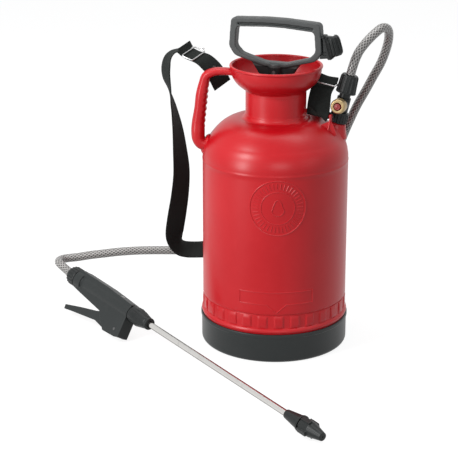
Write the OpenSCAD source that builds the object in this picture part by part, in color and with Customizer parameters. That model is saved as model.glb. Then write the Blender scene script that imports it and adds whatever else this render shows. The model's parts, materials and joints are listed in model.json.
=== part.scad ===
// Hand-carried compression sprayer: tank with funnel and carry handle, hand pump, safety valve,
// shoulder strap, hose, trigger gun and lance. Millimetres, +Z up.
// The origin lies on the floor under the tank's axis. -Y is the front, the outlet points to +X.

/* [Tank] */
// Outer radius of the tank's side
tank_r = 95; // [88:1:105]
// Wall of the tank, the funnel and the carry handle's seat
tank_wall = 2.6; // [2:0.1:4]
// Height at which the side turns into the shoulder
roll_z = 254.5; // [220:0.5:320]
// Radius of the roll at the shoulder's foot
roll_r = 38.3; // [24:0.1:46]
// Height of the domed shoulder above its crease
dome_h = 24.5; // [16:0.1:40]
// Outer radius of the neck
neck_r = 39.3; // [36:0.1:46]
// Height of the neck above the dome
neck_h = 32.3; // [20:0.1:44]
// Bore of the neck, in which the pump sits
neck_bore = 34; // [30:0.5:34]
// Outer radius of the funnel at its rim
funnel_r = 59.2; // [52:0.1:70]
// Height of the funnel
funnel_h = 37; // [28:1:50]
// Number of raised blocks in the band
block_count = 28; // [20:1:36]
// Height of the raised blocks
block_h = 16.5; // [8:0.5:24]

/* [Base cup] */
// How far the cup's side stands out from the tank's
cup_out = 1.8; // [1:0.1:4]
// Wall of the cup
cup_wall = 2.5; // [1.5:0.1:4]
// Height of the cup
cup_h = 39.3; // [25:0.1:60]
// Thickness of the cup's floor
cup_floor = 3; // [2:0.5:6]
// Clearance between the cup and the tank's foot
cup_gap = 0.3; // [0.2:0.1:1]

/* [Carry handle] */
// Reach of the carry handle beyond the tank's side
grip_reach = 6.5; // [4:0.5:30]
// Half width of the carry handle's grip, in its own plane
grip_half = 7; // [5:0.5:10]
// Half depth of the carry handle
grip_depth = 9; // [7:0.5:14]

/* [Pump] */
// Outer radius of the pump cylinder
barrel_r = 22; // [18:0.5:26]
// Wall of the pump cylinder
barrel_wall = 2; // [1.5:0.5:3]
// Length of the pump cylinder
barrel_l = 273; // [200:1:273]
// Radius of the plunger rod
rod_r = 6; // [5:0.5:8]
// Radial clearance of the sliding fits
slide_gap = 0.08; // [0.05:0.01:0.1]
// Height of the pump cap's knob above its flange
knob_h = 13; // [8:1:20]
// Radius of the pump cap's knob
knob_r = 24; // [20:1:30]
// Height of the piston
piston_h = 16; // [12:1:24]

/* [Pump handle] */
// Angle at which the pump handle stands
handle_turn = -20; // [-45:1:45]
// Half width of the pump handle
handle_half = 63; // [50:1:80]
// Height of the pump handle above its web
handle_h = 62; // [50:1:80]
// Thickness of the pump handle, front to back
handle_t = 13; // [12:1:20]
// Height of the web between the cap and the handle
web_h = 14.4; // [10:0.1:24]

/* [Outlet] */
// Lean of the outlet away from the tank's axis
outlet_tilt = 13.5; // [0:0.5:25]
// Outer radius of the collar nut
collar_r = 11.8; // [11:0.1:14]
// Radius of the union's barrel
union_r = 7.3; // [6:0.1:8]
// Length of the hose nut
hose_nut_l = 24; // [18:1:32]
// Outer radius of the safety valve
relief_r = 9.7; // [8.5:0.1:11]
// Outer radius of the dip tube
dip_r = 4; // [3.5:0.1:4.2]

/* [Hose] */
// Outer diameter of the hose
hose_d = 12; // [10:0.5:14]

/* [Strap] */
// Width of the webbing
strap_w = 30; // [20:1:38]
// Thickness of the webbing
strap_t = 1.6; // [1:0.1:2.4]
// Thickness of the slides' wire
wire_d = 1.8; // [1.6:0.1:3]

/* [Gun and lance] */
// Length of the gun's body
gun_l = 131; // [125:1:160]
// Half thickness of the gun's body
gun_half = 9; // [8:0.5:12]
// Half width of the trigger lever
lever_half = 6; // [4:0.5:7]
// Clearance beside the trigger lever
lever_gap = 0.4; // [0.3:0.1:0.8]
// Length of the lance tube that shows
lance_l = 288; // [150:1:500]
// Outer radius of the lance tube
lance_r = 4; // [3:0.5:5]
// Length of the nozzle body
nozzle_l = 30; // [24:1:45]

/* [Hidden] */
$fn = 64;

red = "#c8202a";
dark = "#33383a";
steel = "#c9ccce";
seal_black = "#222222";
brass_tone = "#cfa566";

// ---- heights and radii that follow from the sizes above ----
cup_r = tank_r + cup_out;
foot_r = cup_r - cup_wall - cup_gap;
crease_a = 41.8;
dome_curve = 2.4;
crease_r = tank_r - roll_r + roll_r * cos(crease_a);
crease_z = roll_z + roll_r * sin(crease_a);
dome_foot = neck_r + 4.6;
dome_z = crease_z + dome_h;
neck_z = dome_z + neck_h;
rim_z = neck_z + funnel_h;
band_z = cup_h + 8;
corner_r = 5;

gasket_t = 2;
flange_t = 6;
cap_z = neck_z + gasket_t;
cap_top = cap_z + flange_t + knob_h;
barrel_top = cap_z - 6;
barrel_z = barrel_top - barrel_l;
foot_h = 10;
spigot_h = 6;
seat_h = 5;
disc_t = 2;
disc_lift = 1.5;
glue_gap = 0.04;
piston_z = barrel_z + spigot_h + 2;
handle_z = cap_top + web_h;
rod_bottom = piston_z + 4;
rod_top = handle_z + 1;
hub_r = rod_r + 4;

outlet_x = funnel_r + 20.1;
outlet_lift = 7.3;
outlet_z = shoulder_z(outlet_x) + outlet_lift;
boss_top = 11;
bore_out = 5.2;
collar_w = 4;
flange_w = boss_top + 1.5;
lip_w = flange_w + 2.1;
relief_w = 29;
hose_nut_w = 44.2;
hose_w = hose_nut_w + hose_nut_l;
barb_r = 4;
relief_seat = 8;
relief_front = 26;
relief_turn = -18;
pin_r = 4.2;
seal_r = 5.2;
bend_r = 60;
bend_w = 20;

gun_at = [-284.7, 98.5, 48.7];
gun_yaw = -51.61;
gun_dip = 3.9;
gun_roll = -30;
nut_l = 22;
body_s = 25;
body_end = body_s + gun_l;
gland_l = 40;
lance_s = body_end + 28;
nozzle_s = body_end + gland_l + lance_l + 2.5;
nozzle_end = nozzle_s + nozzle_l;
tip_s = nozzle_end + 36.5;
pivot = [body_end - 12, -30];
stem_s = pivot[0] - 22;
pivot_r = 2;

lug_at = [neck_r + 15.7, -14.5, dome_z + 9.2];
lug_lean = 6;
lug_turn = -26;
ear_l = 15;
lug_bar_r = 2.2;

// ---- point helpers ----
function unit(v) = v / norm(v);
function lerp(a, b, t) = a + (b - a) * t;
function arc(c, r, a0, a1, n) = [for (i = [0 : n]) c + r * [cos(lerp(a0, a1, i / n)), sin(lerp(a0, a1, i / n))]];
function turned(a) = a > 180 ? a - 360 : a < -180 ? a + 360 : a;
function corner(a, b, c, r, n) =
    let (u = unit(a - b), v = unit(c - b), half = acos(u * v) / 2)
    let (m = b + unit(u + v) * r / sin(half), p = b + u * r / tan(half), q = b + v * r / tan(half))
    let (a0 = atan2(p[1] - m[1], p[0] - m[0]), a1 = atan2(q[1] - m[1], q[0] - m[0]))
    arc(m, r, a0, a0 + turned(a1 - a0), n);
// A closed outline with every corner rounded by its own radius
function rounded(p, r, n = 5) =
    let (k = len(p))
    [for (i = [0 : k - 1]) each corner(p[(i + k - 1) % k], p[i], p[(i + 1) % k], r[i], n)];
function mirrored(p) = concat(p, [for (i = [len(p) - 1 : -1 : 0]) [-p[i][0], p[i][1]]]);

// A smooth line through points, of any dimension, with n steps between each two
function at_index(p, i) = p[max(0, min(len(p) - 1, i))];
function between(a, b, c, d, t) =
    0.5 * (2 * b + (c - a) * t + (2 * a - 5 * b + 4 * c - d) * t * t + (3 * b - a - 3 * c + d) * t * t * t);
function smooth(p, n) = concat(
    [for (i = [0 : len(p) - 2]) for (j = [0 : n - 1])
        between(at_index(p, i - 1), p[i], p[i + 1], at_index(p, i + 2), j / n)],
    [p[len(p) - 1]]);
function tangents(p) = [for (i = [0 : len(p) - 1]) unit(at_index(p, i + 1) - at_index(p, i - 1))];
function across(v, t) = unit(v - t * (v * t));
function carried(t, n, i = 0) =
    i >= len(t) ? [] : let (m = across(n, t[i])) concat([m], carried(t, m, i + 1));

// A closed skin over rings with the same number of points each
module skin(rings) {
    k = len(rings[0]);
    m = len(rings);
    sides = [for (i = [0 : m - 2]) for (j = [0 : k - 1])
        each [[i * k + j, (i + 1) * k + j, i * k + (j + 1) % k],
            [i * k + (j + 1) % k, (i + 1) * k + j, (i + 1) * k + (j + 1) % k]]];
    caps = [for (j = [1 : k - 2]) each [[0, j, j + 1], [(m - 1) * k, (m - 1) * k + j + 1, (m - 1) * k + j]]];
    polyhedron(points = [for (ring = rings) each ring], faces = concat(sides, caps));
}

module ring(r, bore, h) {
    difference() {
        cylinder(r = r, h = h);
        translate([0, 0, -1]) cylinder(r = bore, h = h + 2);
    }
}

// ---- tank ----
function dome(t, inset) =
    let (a = lerp(crease_a, 88, t))
    [lerp(crease_r, dome_foot, t), crease_z + dome_h * (1 - pow(1 - t, dome_curve))] - inset * [cos(a), sin(a)];
function shoulder(inset) = concat(
    arc([tank_r - roll_r, roll_z], roll_r - inset, 0, crease_a, 8),
    [for (i = [1 : 10]) dome(i / 10, inset)]);
function foot_corner(r, z, n = 4) = arc([r - corner_r, z + corner_r], corner_r, -90, 0, n);

tank_outer = concat(
    [[0, cup_floor]],
    foot_corner(foot_r, cup_floor),
    [[foot_r, cup_h + cup_gap], [tank_r + 1, cup_h + cup_gap]],
    arc([tank_r - 1.8, cup_h + 4], 3.7, -60, 60, 6),
    [[tank_r - 1, band_z], [tank_r - 1, band_z + block_h + 0.6], [tank_r - 1.7, band_z + block_h + 0.6],
        [tank_r - 1.7, band_z + block_h + 2.4], [tank_r, band_z + block_h + 2.4]],
    shoulder(0),
    [[dome_foot - 1.8, dome_z + 1.3], [neck_r + 1.4, dome_z + 3.2], [neck_r + 0.8, dome_z + 5.4],
        [neck_r, dome_z + 6], [neck_r, neck_z]]);
tank_inner = concat(
    [[neck_bore, neck_z], [neck_bore, dome_z - tank_wall - 2]],
    [for (p = [for (i = [len(shoulder(0)) - 2 : -1 : 0]) shoulder(tank_wall)[i]]) p],
    [[tank_r - tank_wall, band_z + block_h + 6], [foot_r - tank_wall, band_z + block_h]],
    [for (i = [4 : -1 : 0]) foot_corner(foot_r - tank_wall, cup_floor + tank_wall)[i]],
    [[0, cup_floor + tank_wall]]);

// Height of the shoulder at a radius
function shoulder_z(x) =
    x > crease_r ? roll_z + sqrt(max(0, pow(roll_r, 2) - pow(x - tank_r + roll_r, 2)))
    : crease_z + dome_h * (1 - pow(1 - (crease_r - x) / (crease_r - dome_foot), dome_curve));

module outlet_frame() {
    translate([outlet_x, 0, outlet_z]) rotate([0, outlet_tilt, 0]) children();
}

module lug_frame() {
    translate(lug_at) rotate([0, lug_lean, lug_turn]) children();
}

module strap_lug() {
    lug_frame() rotate([0, 90, 0]) translate([0, 0, -strap_w / 2 - 3]) cylinder(r = lug_bar_r, h = strap_w + 6);
    for (side = [-1, 1]) {
        lug_frame() translate([side * (strap_w / 2 + 2.5) - 1.25, -3.5, -ear_l - side * 5]) cube([2.5, 7, ear_l + side * 5 + 2.8]);
    }
}

module tank_shell() {
    color(red) difference() {
        union() {
            difference() {
                union() {
                    rotate_extrude($fn = 128) polygon(tank_outer);
                    outlet_frame() translate([0, 0, -14]) cylinder(r1 = 16, r2 = 11, h = 16.6);
                }
                rotate_extrude($fn = 128) polygon(concat(tank_inner, [[0, neck_z]]));
            }
            for (i = [0 : block_count - 1]) {
                rotate([0, 0, i * 360 / block_count]) rotate_extrude(angle = 216 / block_count, $fn = 128)
                    translate([tank_r - 2, band_z + 0.4]) square([2.3, block_h - 0.4]);
            }
            outlet_frame() translate([0, 0, -12]) cylinder(r = 8.6, h = 12 + boss_top);
            difference() {
                strap_lug();
                rotate_extrude($fn = 128) polygon(concat(tank_inner, [[0, neck_z]]));
            }
        }
        outlet_frame() translate([0, 0, -20]) cylinder(r = bore_out, h = 40);
    }
}

// The funnel's foot goes on straight, like the neck, before it flares
funnel_foot = 5;
function funnel_x(t) =
    let (u = max(0, (t * funnel_h - funnel_foot) / (funnel_h - funnel_foot)))
    lerp(neck_r, funnel_r, 0.87 * (1 - pow(1 - u, 3)) + 0.13 * u);

module filling_funnel() {
    steps = 12;
    outside = [for (i = [0 : steps]) [funnel_x(i / steps), neck_z + funnel_h * i / steps]];
    inside = [for (i = [steps : -1 : 0])
        [funnel_x(i / steps) - tank_wall * (1.25 - 0.25 * i / steps), neck_z + funnel_h * i / steps]];
    color(red) rotate_extrude($fn = 128) {
        polygon(concat(outside, inside));
        translate([funnel_r - 0.4, rim_z - 1.5]) circle(r = 1.5, $fn = 16);
    }
}

// Centre line of the carry handle, x and z, with its half width and half depth
grip_line = [
    [-(funnel_r - 3.2), rim_z - 9.5, 4.6, grip_depth],
    [-(funnel_r + 9), rim_z - 8.7, 4.6, grip_depth],
    [-(funnel_r + 21), rim_z - 9.8, 5, grip_depth],
    [-(tank_r - 5), rim_z - 15, 5.6, grip_depth],
    [-(tank_r - 1.5), rim_z - 25, 6.2, grip_depth],
    [-(tank_r - 5 + grip_reach), rim_z - 40, grip_half, grip_depth + 1],
    [-(tank_r - 3 + grip_reach), rim_z - 58, grip_half, grip_depth + 1],
    [-(tank_r - 0.6 + grip_reach), rim_z - 76, grip_half + 0.8, grip_depth + 1],
    [-(tank_r + grip_reach), rim_z - 88, grip_half + 1.2, grip_depth + 2],
    [-(tank_r - 1.5 + grip_reach), rim_z - 98.5, grip_half + 1.5, grip_depth + 2],
    [-(tank_r - 0.5), rim_z - 104.8, grip_half + 1.5, grip_depth + 2],
    [-(tank_r - 10), rim_z - 104.8, grip_half + 1.5, grip_depth + 2]
];

module carry_handle() {
    line = smooth(grip_line, 3);
    spine = [for (p = line) [p[0], 0, p[1]]];
    t = tangents(spine);
    sides = 16;
    color(red) skin([for (i = [0 : len(line) - 1])
        let (n = unit(cross([0, 1, 0], t[i])))
        [for (j = [0 : sides - 1]) spine[i] + line[i][2] * cos(j * 360 / sides) * n
            + [0, line[i][3] * sin(j * 360 / sides), 0]]]);
}

module base_cup() {
    color(dark) rotate_extrude($fn = 128) polygon(concat(
        [[0, 0]],
        arc([cup_r - 5.5, 5.5], 5.5, -90, 0, 4),
        [[cup_r, cup_h - 5], [cup_r + 1, cup_h - 4.4], [cup_r + 1, cup_h - 0.6], [cup_r + 0.4, cup_h],
            [foot_r + cup_gap, cup_h]],
        [for (i = [4 : -1 : 0]) foot_corner(foot_r + cup_gap, cup_floor)[i]],
        [[0, cup_floor]]));
}

// ---- pump ----
module pump_gasket() {
    color(seal_black) translate([0, 0, neck_z]) ring(neck_r - 4.1, neck_bore + 0.2, gasket_t);
}

module pump_cap() {
    skirt_z = dome_z + 4;
    color(dark) difference() {
        union() {
            translate([0, 0, skirt_z]) cylinder(r = neck_bore - 0.3, h = cap_z - skirt_z);
            translate([0, 0, cap_z]) cylinder(r = neck_r - 3.9, h = flange_t);
            translate([0, 0, cap_z + flange_t]) cylinder(r = knob_r, h = knob_h);
        }
        translate([0, 0, skirt_z - 1]) ring(neck_bore - 3, barrel_r + 3, cap_z - skirt_z - 3);
        translate([0, 0, skirt_z - 1]) cylinder(r = barrel_r + glue_gap, h = barrel_top - skirt_z + 1);
        translate([0, 0, skirt_z]) cylinder(r = rod_r + 3, h = cap_top);
    }
}

module pump_cylinder() {
    color("#d8d8d2") translate([0, 0, barrel_z]) ring(barrel_r, barrel_r - barrel_wall, barrel_l);
}

module rod_guide() {
    color("#e6e2d8") translate([0, 0, barrel_top]) ring(rod_r + 3, rod_r + slide_gap, cap_top - barrel_top - 1);
    color("#e6e2d8") translate([0, 0, barrel_top - 3]) ring(barrel_r - barrel_wall, rod_r + slide_gap, 3);
}

module pump_foot() {
    color("#d8d8d2") difference() {
        union() {
            translate([0, 0, barrel_z - foot_h]) cylinder(r = barrel_r, h = foot_h);
            translate([0, 0, barrel_z]) cylinder(r = barrel_r - barrel_wall, h = spigot_h);
        }
        translate([0, 0, barrel_z - foot_h - 1]) cylinder(r = 6, h = foot_h + spigot_h + 2);
        translate([0, 0, barrel_z - foot_h + 1.5]) cylinder(r = 9, h = disc_t + disc_lift);
    }
}

module check_disc() {
    color(seal_black) translate([0, 0, barrel_z - foot_h + 1.5]) cylinder(r = 8, h = disc_t);
}

module plunger_rod() {
    color(steel) translate([0, 0, rod_bottom]) difference() {
        ring(rod_r, rod_r - 1.5, rod_top - rod_bottom);
        translate([0, 0, pin_height() - rod_bottom]) rotate([0, 0, handle_turn]) rotate([90, 0, 0])
            cylinder(r = 2, h = 4 * rod_r, center = true);
    }
}

module piston() {
    groove = piston_z + 6;
    color("#e6e2d8") difference() {
        translate([0, 0, piston_z]) cylinder(r = barrel_r - barrel_wall - 0.3, h = piston_h);
        translate([0, 0, rod_bottom]) cylinder(r = rod_r + glue_gap, h = piston_h);
        translate([0, 0, groove]) ring(barrel_r, barrel_r - barrel_wall - 4, 5);
    }
}

module piston_cup() {
    color(seal_black) translate([0, 0, piston_z + 6])
        ring(barrel_r - barrel_wall - slide_gap, barrel_r - barrel_wall - 4, 5);
}

function pin_height() = handle_z - 6;

module handle_frame() {
    translate([0, 0, handle_z]) rotate([0, 0, handle_turn]) rotate([90, 0, 0]) children();
}

module handle_plate(points, t) {
    translate([0, 0, -t / 2]) linear_extrude(height = t) polygon(points);
}

handle_outer = rounded(mirrored([[14, 0], [handle_half - 8, 11], [handle_half, 23],
    [handle_half - 3, handle_h - 2], [12, handle_h + 0.5]]), [30, 13, 9, 6, 60, 60, 6, 9, 13, 30]);

module pump_handle() {
    w = handle_half;
    h = handle_h;
    inner = rounded(mirrored([[15, 5.5], [w - 17, 14.5], [w - 8.5, 23], [w - 10.5, h - 13.5], [12, h - 11]]),
        [24, 10, 9, 5, 60, 60, 5, 9, 10, 24]);
    web = [[-33, 5], [-20, -web_h], [20, -web_h], [33, 5]];
    groove = mirrored([[w - 12, h - 8.5], [12, h - 6.2]]);
    groove_low = mirrored([[w - 12, h - 10.7], [12, h - 8.4]]);
    color("#4c5154") difference() {
        handle_frame() {
            difference() {
                handle_plate(handle_outer, handle_t);
                handle_plate(inner, handle_t + 2);
                translate([0, 0, handle_t / 2 - 3]) linear_extrude(height = 4)
                    polygon(concat(groove, [for (i = [3 : -1 : 0]) groove_low[i]]));
            }
            handle_plate(web, 8);
            translate([0, 0, 0]) rotate([-90, 0, 0]) translate([0, 0, -web_h]) cylinder(r = hub_r, h = web_h + 4);
        }
        translate([0, 0, cap_top - 1]) cylinder(r = rod_r + glue_gap, h = rod_top - cap_top + 1);
        translate([0, 0, pin_height()]) rotate([0, 0, handle_turn]) rotate([90, 0, 0])
            cylinder(r = 2, h = 60, center = true);
    }
}

module handle_pin() {
    color(steel) translate([0, 0, pin_height()]) rotate([0, 0, handle_turn]) rotate([90, 0, 0])
        cylinder(r = 2 - glue_gap, h = 2 * hub_r - 0.6, center = true);
}

// The clip that holds the stored lance: an open ring with outside ribs, on a bracket
clip_bore = 4.4;
clip_lean = -17;

module clip_frame() {
    handle_frame() translate([handle_half + 14.5, 32.5, 0]) rotate([-90, 0, 0]) rotate([0, clip_lean, 0]) children();
}

module lance_clip() {
    x = handle_half;
    color(dark) difference() {
        union() {
            clip_frame() translate([0, 0, -13]) cylinder(r = 8.4, h = 26);
            clip_frame() for (i = [0 : 6]) {
                rotate([0, 0, -165 + i * 27]) translate([7.5, -0.9, -13]) cube([2.5, 1.8, 26]);
            }
            handle_frame() handle_plate([[x - 0.5, 22], [x - 1.6, 42], [x + 4, 42], [x + 12, 16], [x - 0.5, 16]], 5);
            handle_frame() handle_plate([[x - 1, 45.5], [x + 3.4, 45.5], [x + 12, 15], [x + 7.8, 15]], 11);
            handle_frame() handle_plate([[x - 3, 15], [x + 15, 17.5], [x + 15, 20.5], [x - 2, 19.5]], 11);
        }
        clip_frame() translate([0, 0, -20]) cylinder(r = clip_bore, h = 44);
        clip_frame() rotate([0, 0, -handle_turn]) translate([-3.6, 0, -20]) cube([7.2, 20, 44]);
        handle_frame() handle_plate(handle_outer, handle_t + 20);
    }
}

// ---- outlet ----
module outlet_gasket() {
    color(seal_black) outlet_frame() translate([0, 0, boss_top]) ring(8.4, bore_out + 0.2, flange_w - boss_top);
}

module outlet_collar_nut() {
    color(dark) outlet_frame() difference() {
        union() {
            translate([0, 0, collar_w]) cylinder(r = collar_r - 0.8, h = lip_w + 1.8 - collar_w);
            for (i = [0 : 11]) {
                rotate([0, 0, i * 30]) translate([collar_r - 2, -1.2, collar_w + 0.4]) cube([2, 2.4, lip_w - collar_w]);
            }
        }
        translate([0, 0, collar_w - 1]) cylinder(r = 8.9, h = lip_w - collar_w + 1);
        cylinder(r = union_r + 0.3, h = 40);
    }
}

module relief_frame() {
    outlet_frame() translate([0, 0, relief_w]) rotate([0, 0, relief_turn]) rotate([90, 0, 0]) children();
}

module outlet_union() {
    color(dark) difference() {
        union() {
            outlet_frame() translate([0, 0, -14]) cylinder(r = bore_out - 0.1, h = 14 + flange_w);
            outlet_frame() translate([0, 0, flange_w]) cylinder(r = 8.4, h = lip_w - flange_w);
            outlet_frame() translate([0, 0, lip_w]) cylinder(r = union_r, h = hose_nut_w + 15.8 - lip_w);
            outlet_frame() translate([0, 0, relief_w - 9]) cylinder(r = 9, h = 18);
            outlet_frame() translate([0, 0, hose_nut_w]) cylinder(r = barb_r, h = hose_nut_l);
            relief_frame() cylinder(r = 8.6, h = 13);
        }
        outlet_frame() translate([0, 0, -15]) cylinder(r = 2.8, h = hose_w + 16);
        outlet_frame() translate([0, 0, -15]) cylinder(r = dip_r + glue_gap, h = 10);
        relief_frame() cylinder(r = 2.4, h = 20);
        relief_frame() translate([0, 0, relief_seat]) cylinder(r = 6.5, h = 10);
    }
}

module hose_nut() {
    color(dark) outlet_frame() difference() {
        union() {
            translate([0, 0, hose_nut_w]) cylinder(r1 = 12.4, r2 = 10.4, h = hose_nut_l);
            translate([0, 0, hose_nut_w]) cylinder(r = 13.2, h = 2);
            for (i = [0 : 11]) {
                rotate([0, 0, i * 30]) translate([9.8, -1.2, hose_nut_w]) cube([2.5, 2.4, hose_nut_l - 1.5]);
            }
        }
        translate([0, 0, hose_nut_w - 1]) cylinder(r = union_r + 0.3, h = 16.8);
        cylinder(r = barb_r + 0.1, h = 100);
    }
}

module relief_body() {
    color(brass_tone) relief_frame() difference() {
        union() {
            translate([0, 0, relief_seat]) cylinder(r = 6.4, h = 6);
            translate([0, 0, 13]) cylinder(r = relief_r, h = 11);
            translate([0, 0, 24]) cylinder(r1 = relief_r, r2 = relief_r - 1, h = relief_front - 24);
        }
        cylinder(r = 2.4, h = 20);
        translate([0, 0, relief_seat + 1.5]) cylinder(r = seal_r + 0.5, h = 13.5);
        cylinder(r = pin_r + slide_gap, h = 40);
    }
}

module relief_spring() {
    color(steel) relief_frame() translate([0, 0, relief_seat + 5]) ring(seal_r + 0.3, pin_r + 0.3, 10);
}

module relief_pin() {
    color("#b3202c") relief_frame() {
        translate([0, 0, relief_seat + 3.2]) cylinder(r = seal_r, h = 1.6);
        translate([0, 0, relief_seat + 4.8]) cylinder(r = 2.6, h = 8);
        translate([0, 0, relief_seat + 12]) cylinder(r = pin_r, h = relief_front - relief_seat - 10.8);
    }
}

module relief_seal() {
    color(seal_black) relief_frame() translate([0, 0, relief_seat + 1.5]) cylinder(r = seal_r, h = 1.7);
}

bend_start = [outlet_x - bend_w * sin(outlet_tilt), outlet_z - bend_w * cos(outlet_tilt)];
bend_mid = bend_start + bend_r * [cos(outlet_tilt), -sin(outlet_tilt)];
dip_x = bend_mid[0] - bend_r;
strainer_z = cup_floor + tank_wall + 3;

dip_line = concat(
    [for (w = [-5, -12]) [outlet_x + w * sin(outlet_tilt), outlet_z + w * cos(outlet_tilt)]],
    [for (i = [0 : 6]) bend_mid + bend_r * [-cos(outlet_tilt * (1 - i / 6)), sin(outlet_tilt * (1 - i / 6))]],
    [[dip_x, 180], [dip_x, strainer_z + 4]]);

// A round tube along the dip tube's line, past both ends by the given length
module dip_round(r, past) {
    k = len(dip_line) - 1;
    first = dip_line[0] + past * unit(dip_line[0] - dip_line[1]);
    last = dip_line[k] + past * unit(dip_line[k] - dip_line[k - 1]);
    line = concat([first], [for (i = [1 : k - 1]) dip_line[i]], [last]);
    t = tangents(line);
    sides = 32;
    skin([for (i = [0 : k]) [for (j = [0 : sides - 1])
        [line[i][0], 0, line[i][1]] + r * (cos(j * 360 / sides) * [0, 1, 0]
            + sin(j * 360 / sides) * [-t[i][1], 0, t[i][0]])]]);
}

module dip_tube() {
    color("#d9dbd3") difference() {
        dip_round(dip_r, 0);
        dip_round(dip_r - 1.3, 1);
    }
}

module dip_strainer() {
    color("#e6e2d8") difference() {
        translate([dip_x, 0, strainer_z]) cylinder(r = dip_r + 3.5, h = 22);
        translate([dip_x, 0, strainer_z + 4]) cylinder(r = dip_r + glue_gap, h = 30);
        for (i = [0 : 3]) {
            translate([dip_x, 0, strainer_z - 1]) rotate([0, 0, i * 90]) translate([dip_r + 1.2, -1, 0])
                cube([4, 2, 18]);
        }
    }
}

// ---- hose ----
nut_out = [outlet_x + hose_w * sin(outlet_tilt), 0, outlet_z + hose_w * cos(outlet_tilt)];
hose_route = [
    [98.5, 1, 373], [102, 3, 383], [107, 7, 392], [115, 13, 401], [125.5, 22, 410], [136, 33, 415.5],
    [144, 44, 411.5], [146.5, 54, 399], [144, 62, 381], [138, 69, 361], [129, 76, 341], [119.5, 82, 320],
    [109, 88, 298], [100, 94, 275], [92.5, 99, 254], [84.5, 104, 228], [76, 110, 195], [71, 122, 156],
    [63, 143, 114], [50, 168, 76], [28, 190, 43], [-2, 200, 23], [-32, 197, 18], [-58, 184, 27],
    [-78, 167, 45], [-94, 153, 61], [-112, 147, 67.5], [-142, 145, 68.5], [-167, 146, 68], [-192, 147, 67],
    [-221, 148, 64.5], [-243, 148.5, 61.5], [-264, 149, 58.5], [-281, 149, 55.5], [-293, 147.5, 54.5],
    [-302, 143, 54.5], [-306.5, 135, 55], [-306, 126, 55], [-301.5, 118, 54]
];

module delivery_hose() {
    gun_in = gun_at;
    route = concat([nut_out], hose_route, [gun_at - 8 * gun_axis, gun_at]);
    line = smooth(route, 2);
    t0 = tangents(line);
    t = concat([[sin(outlet_tilt), 0, cos(outlet_tilt)]], [for (i = [1 : len(t0) - 2]) t0[i]], [gun_axis]);
    n = carried(t, [0, 1, 0]);
    sides = 10;
    color("#9a9896") skin([for (i = [0 : len(line) - 1])
        [for (j = [0 : sides - 1]) line[i] + hose_d / 2 * (cos(j * 360 / sides) * n[i]
            + sin(j * 360 / sides) * cross(t[i], n[i]))]]);
}

// ---- strap ----
// Places along the middle of the webbing, each followed by the direction across it
strap_back = tank_r + 11;
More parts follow.
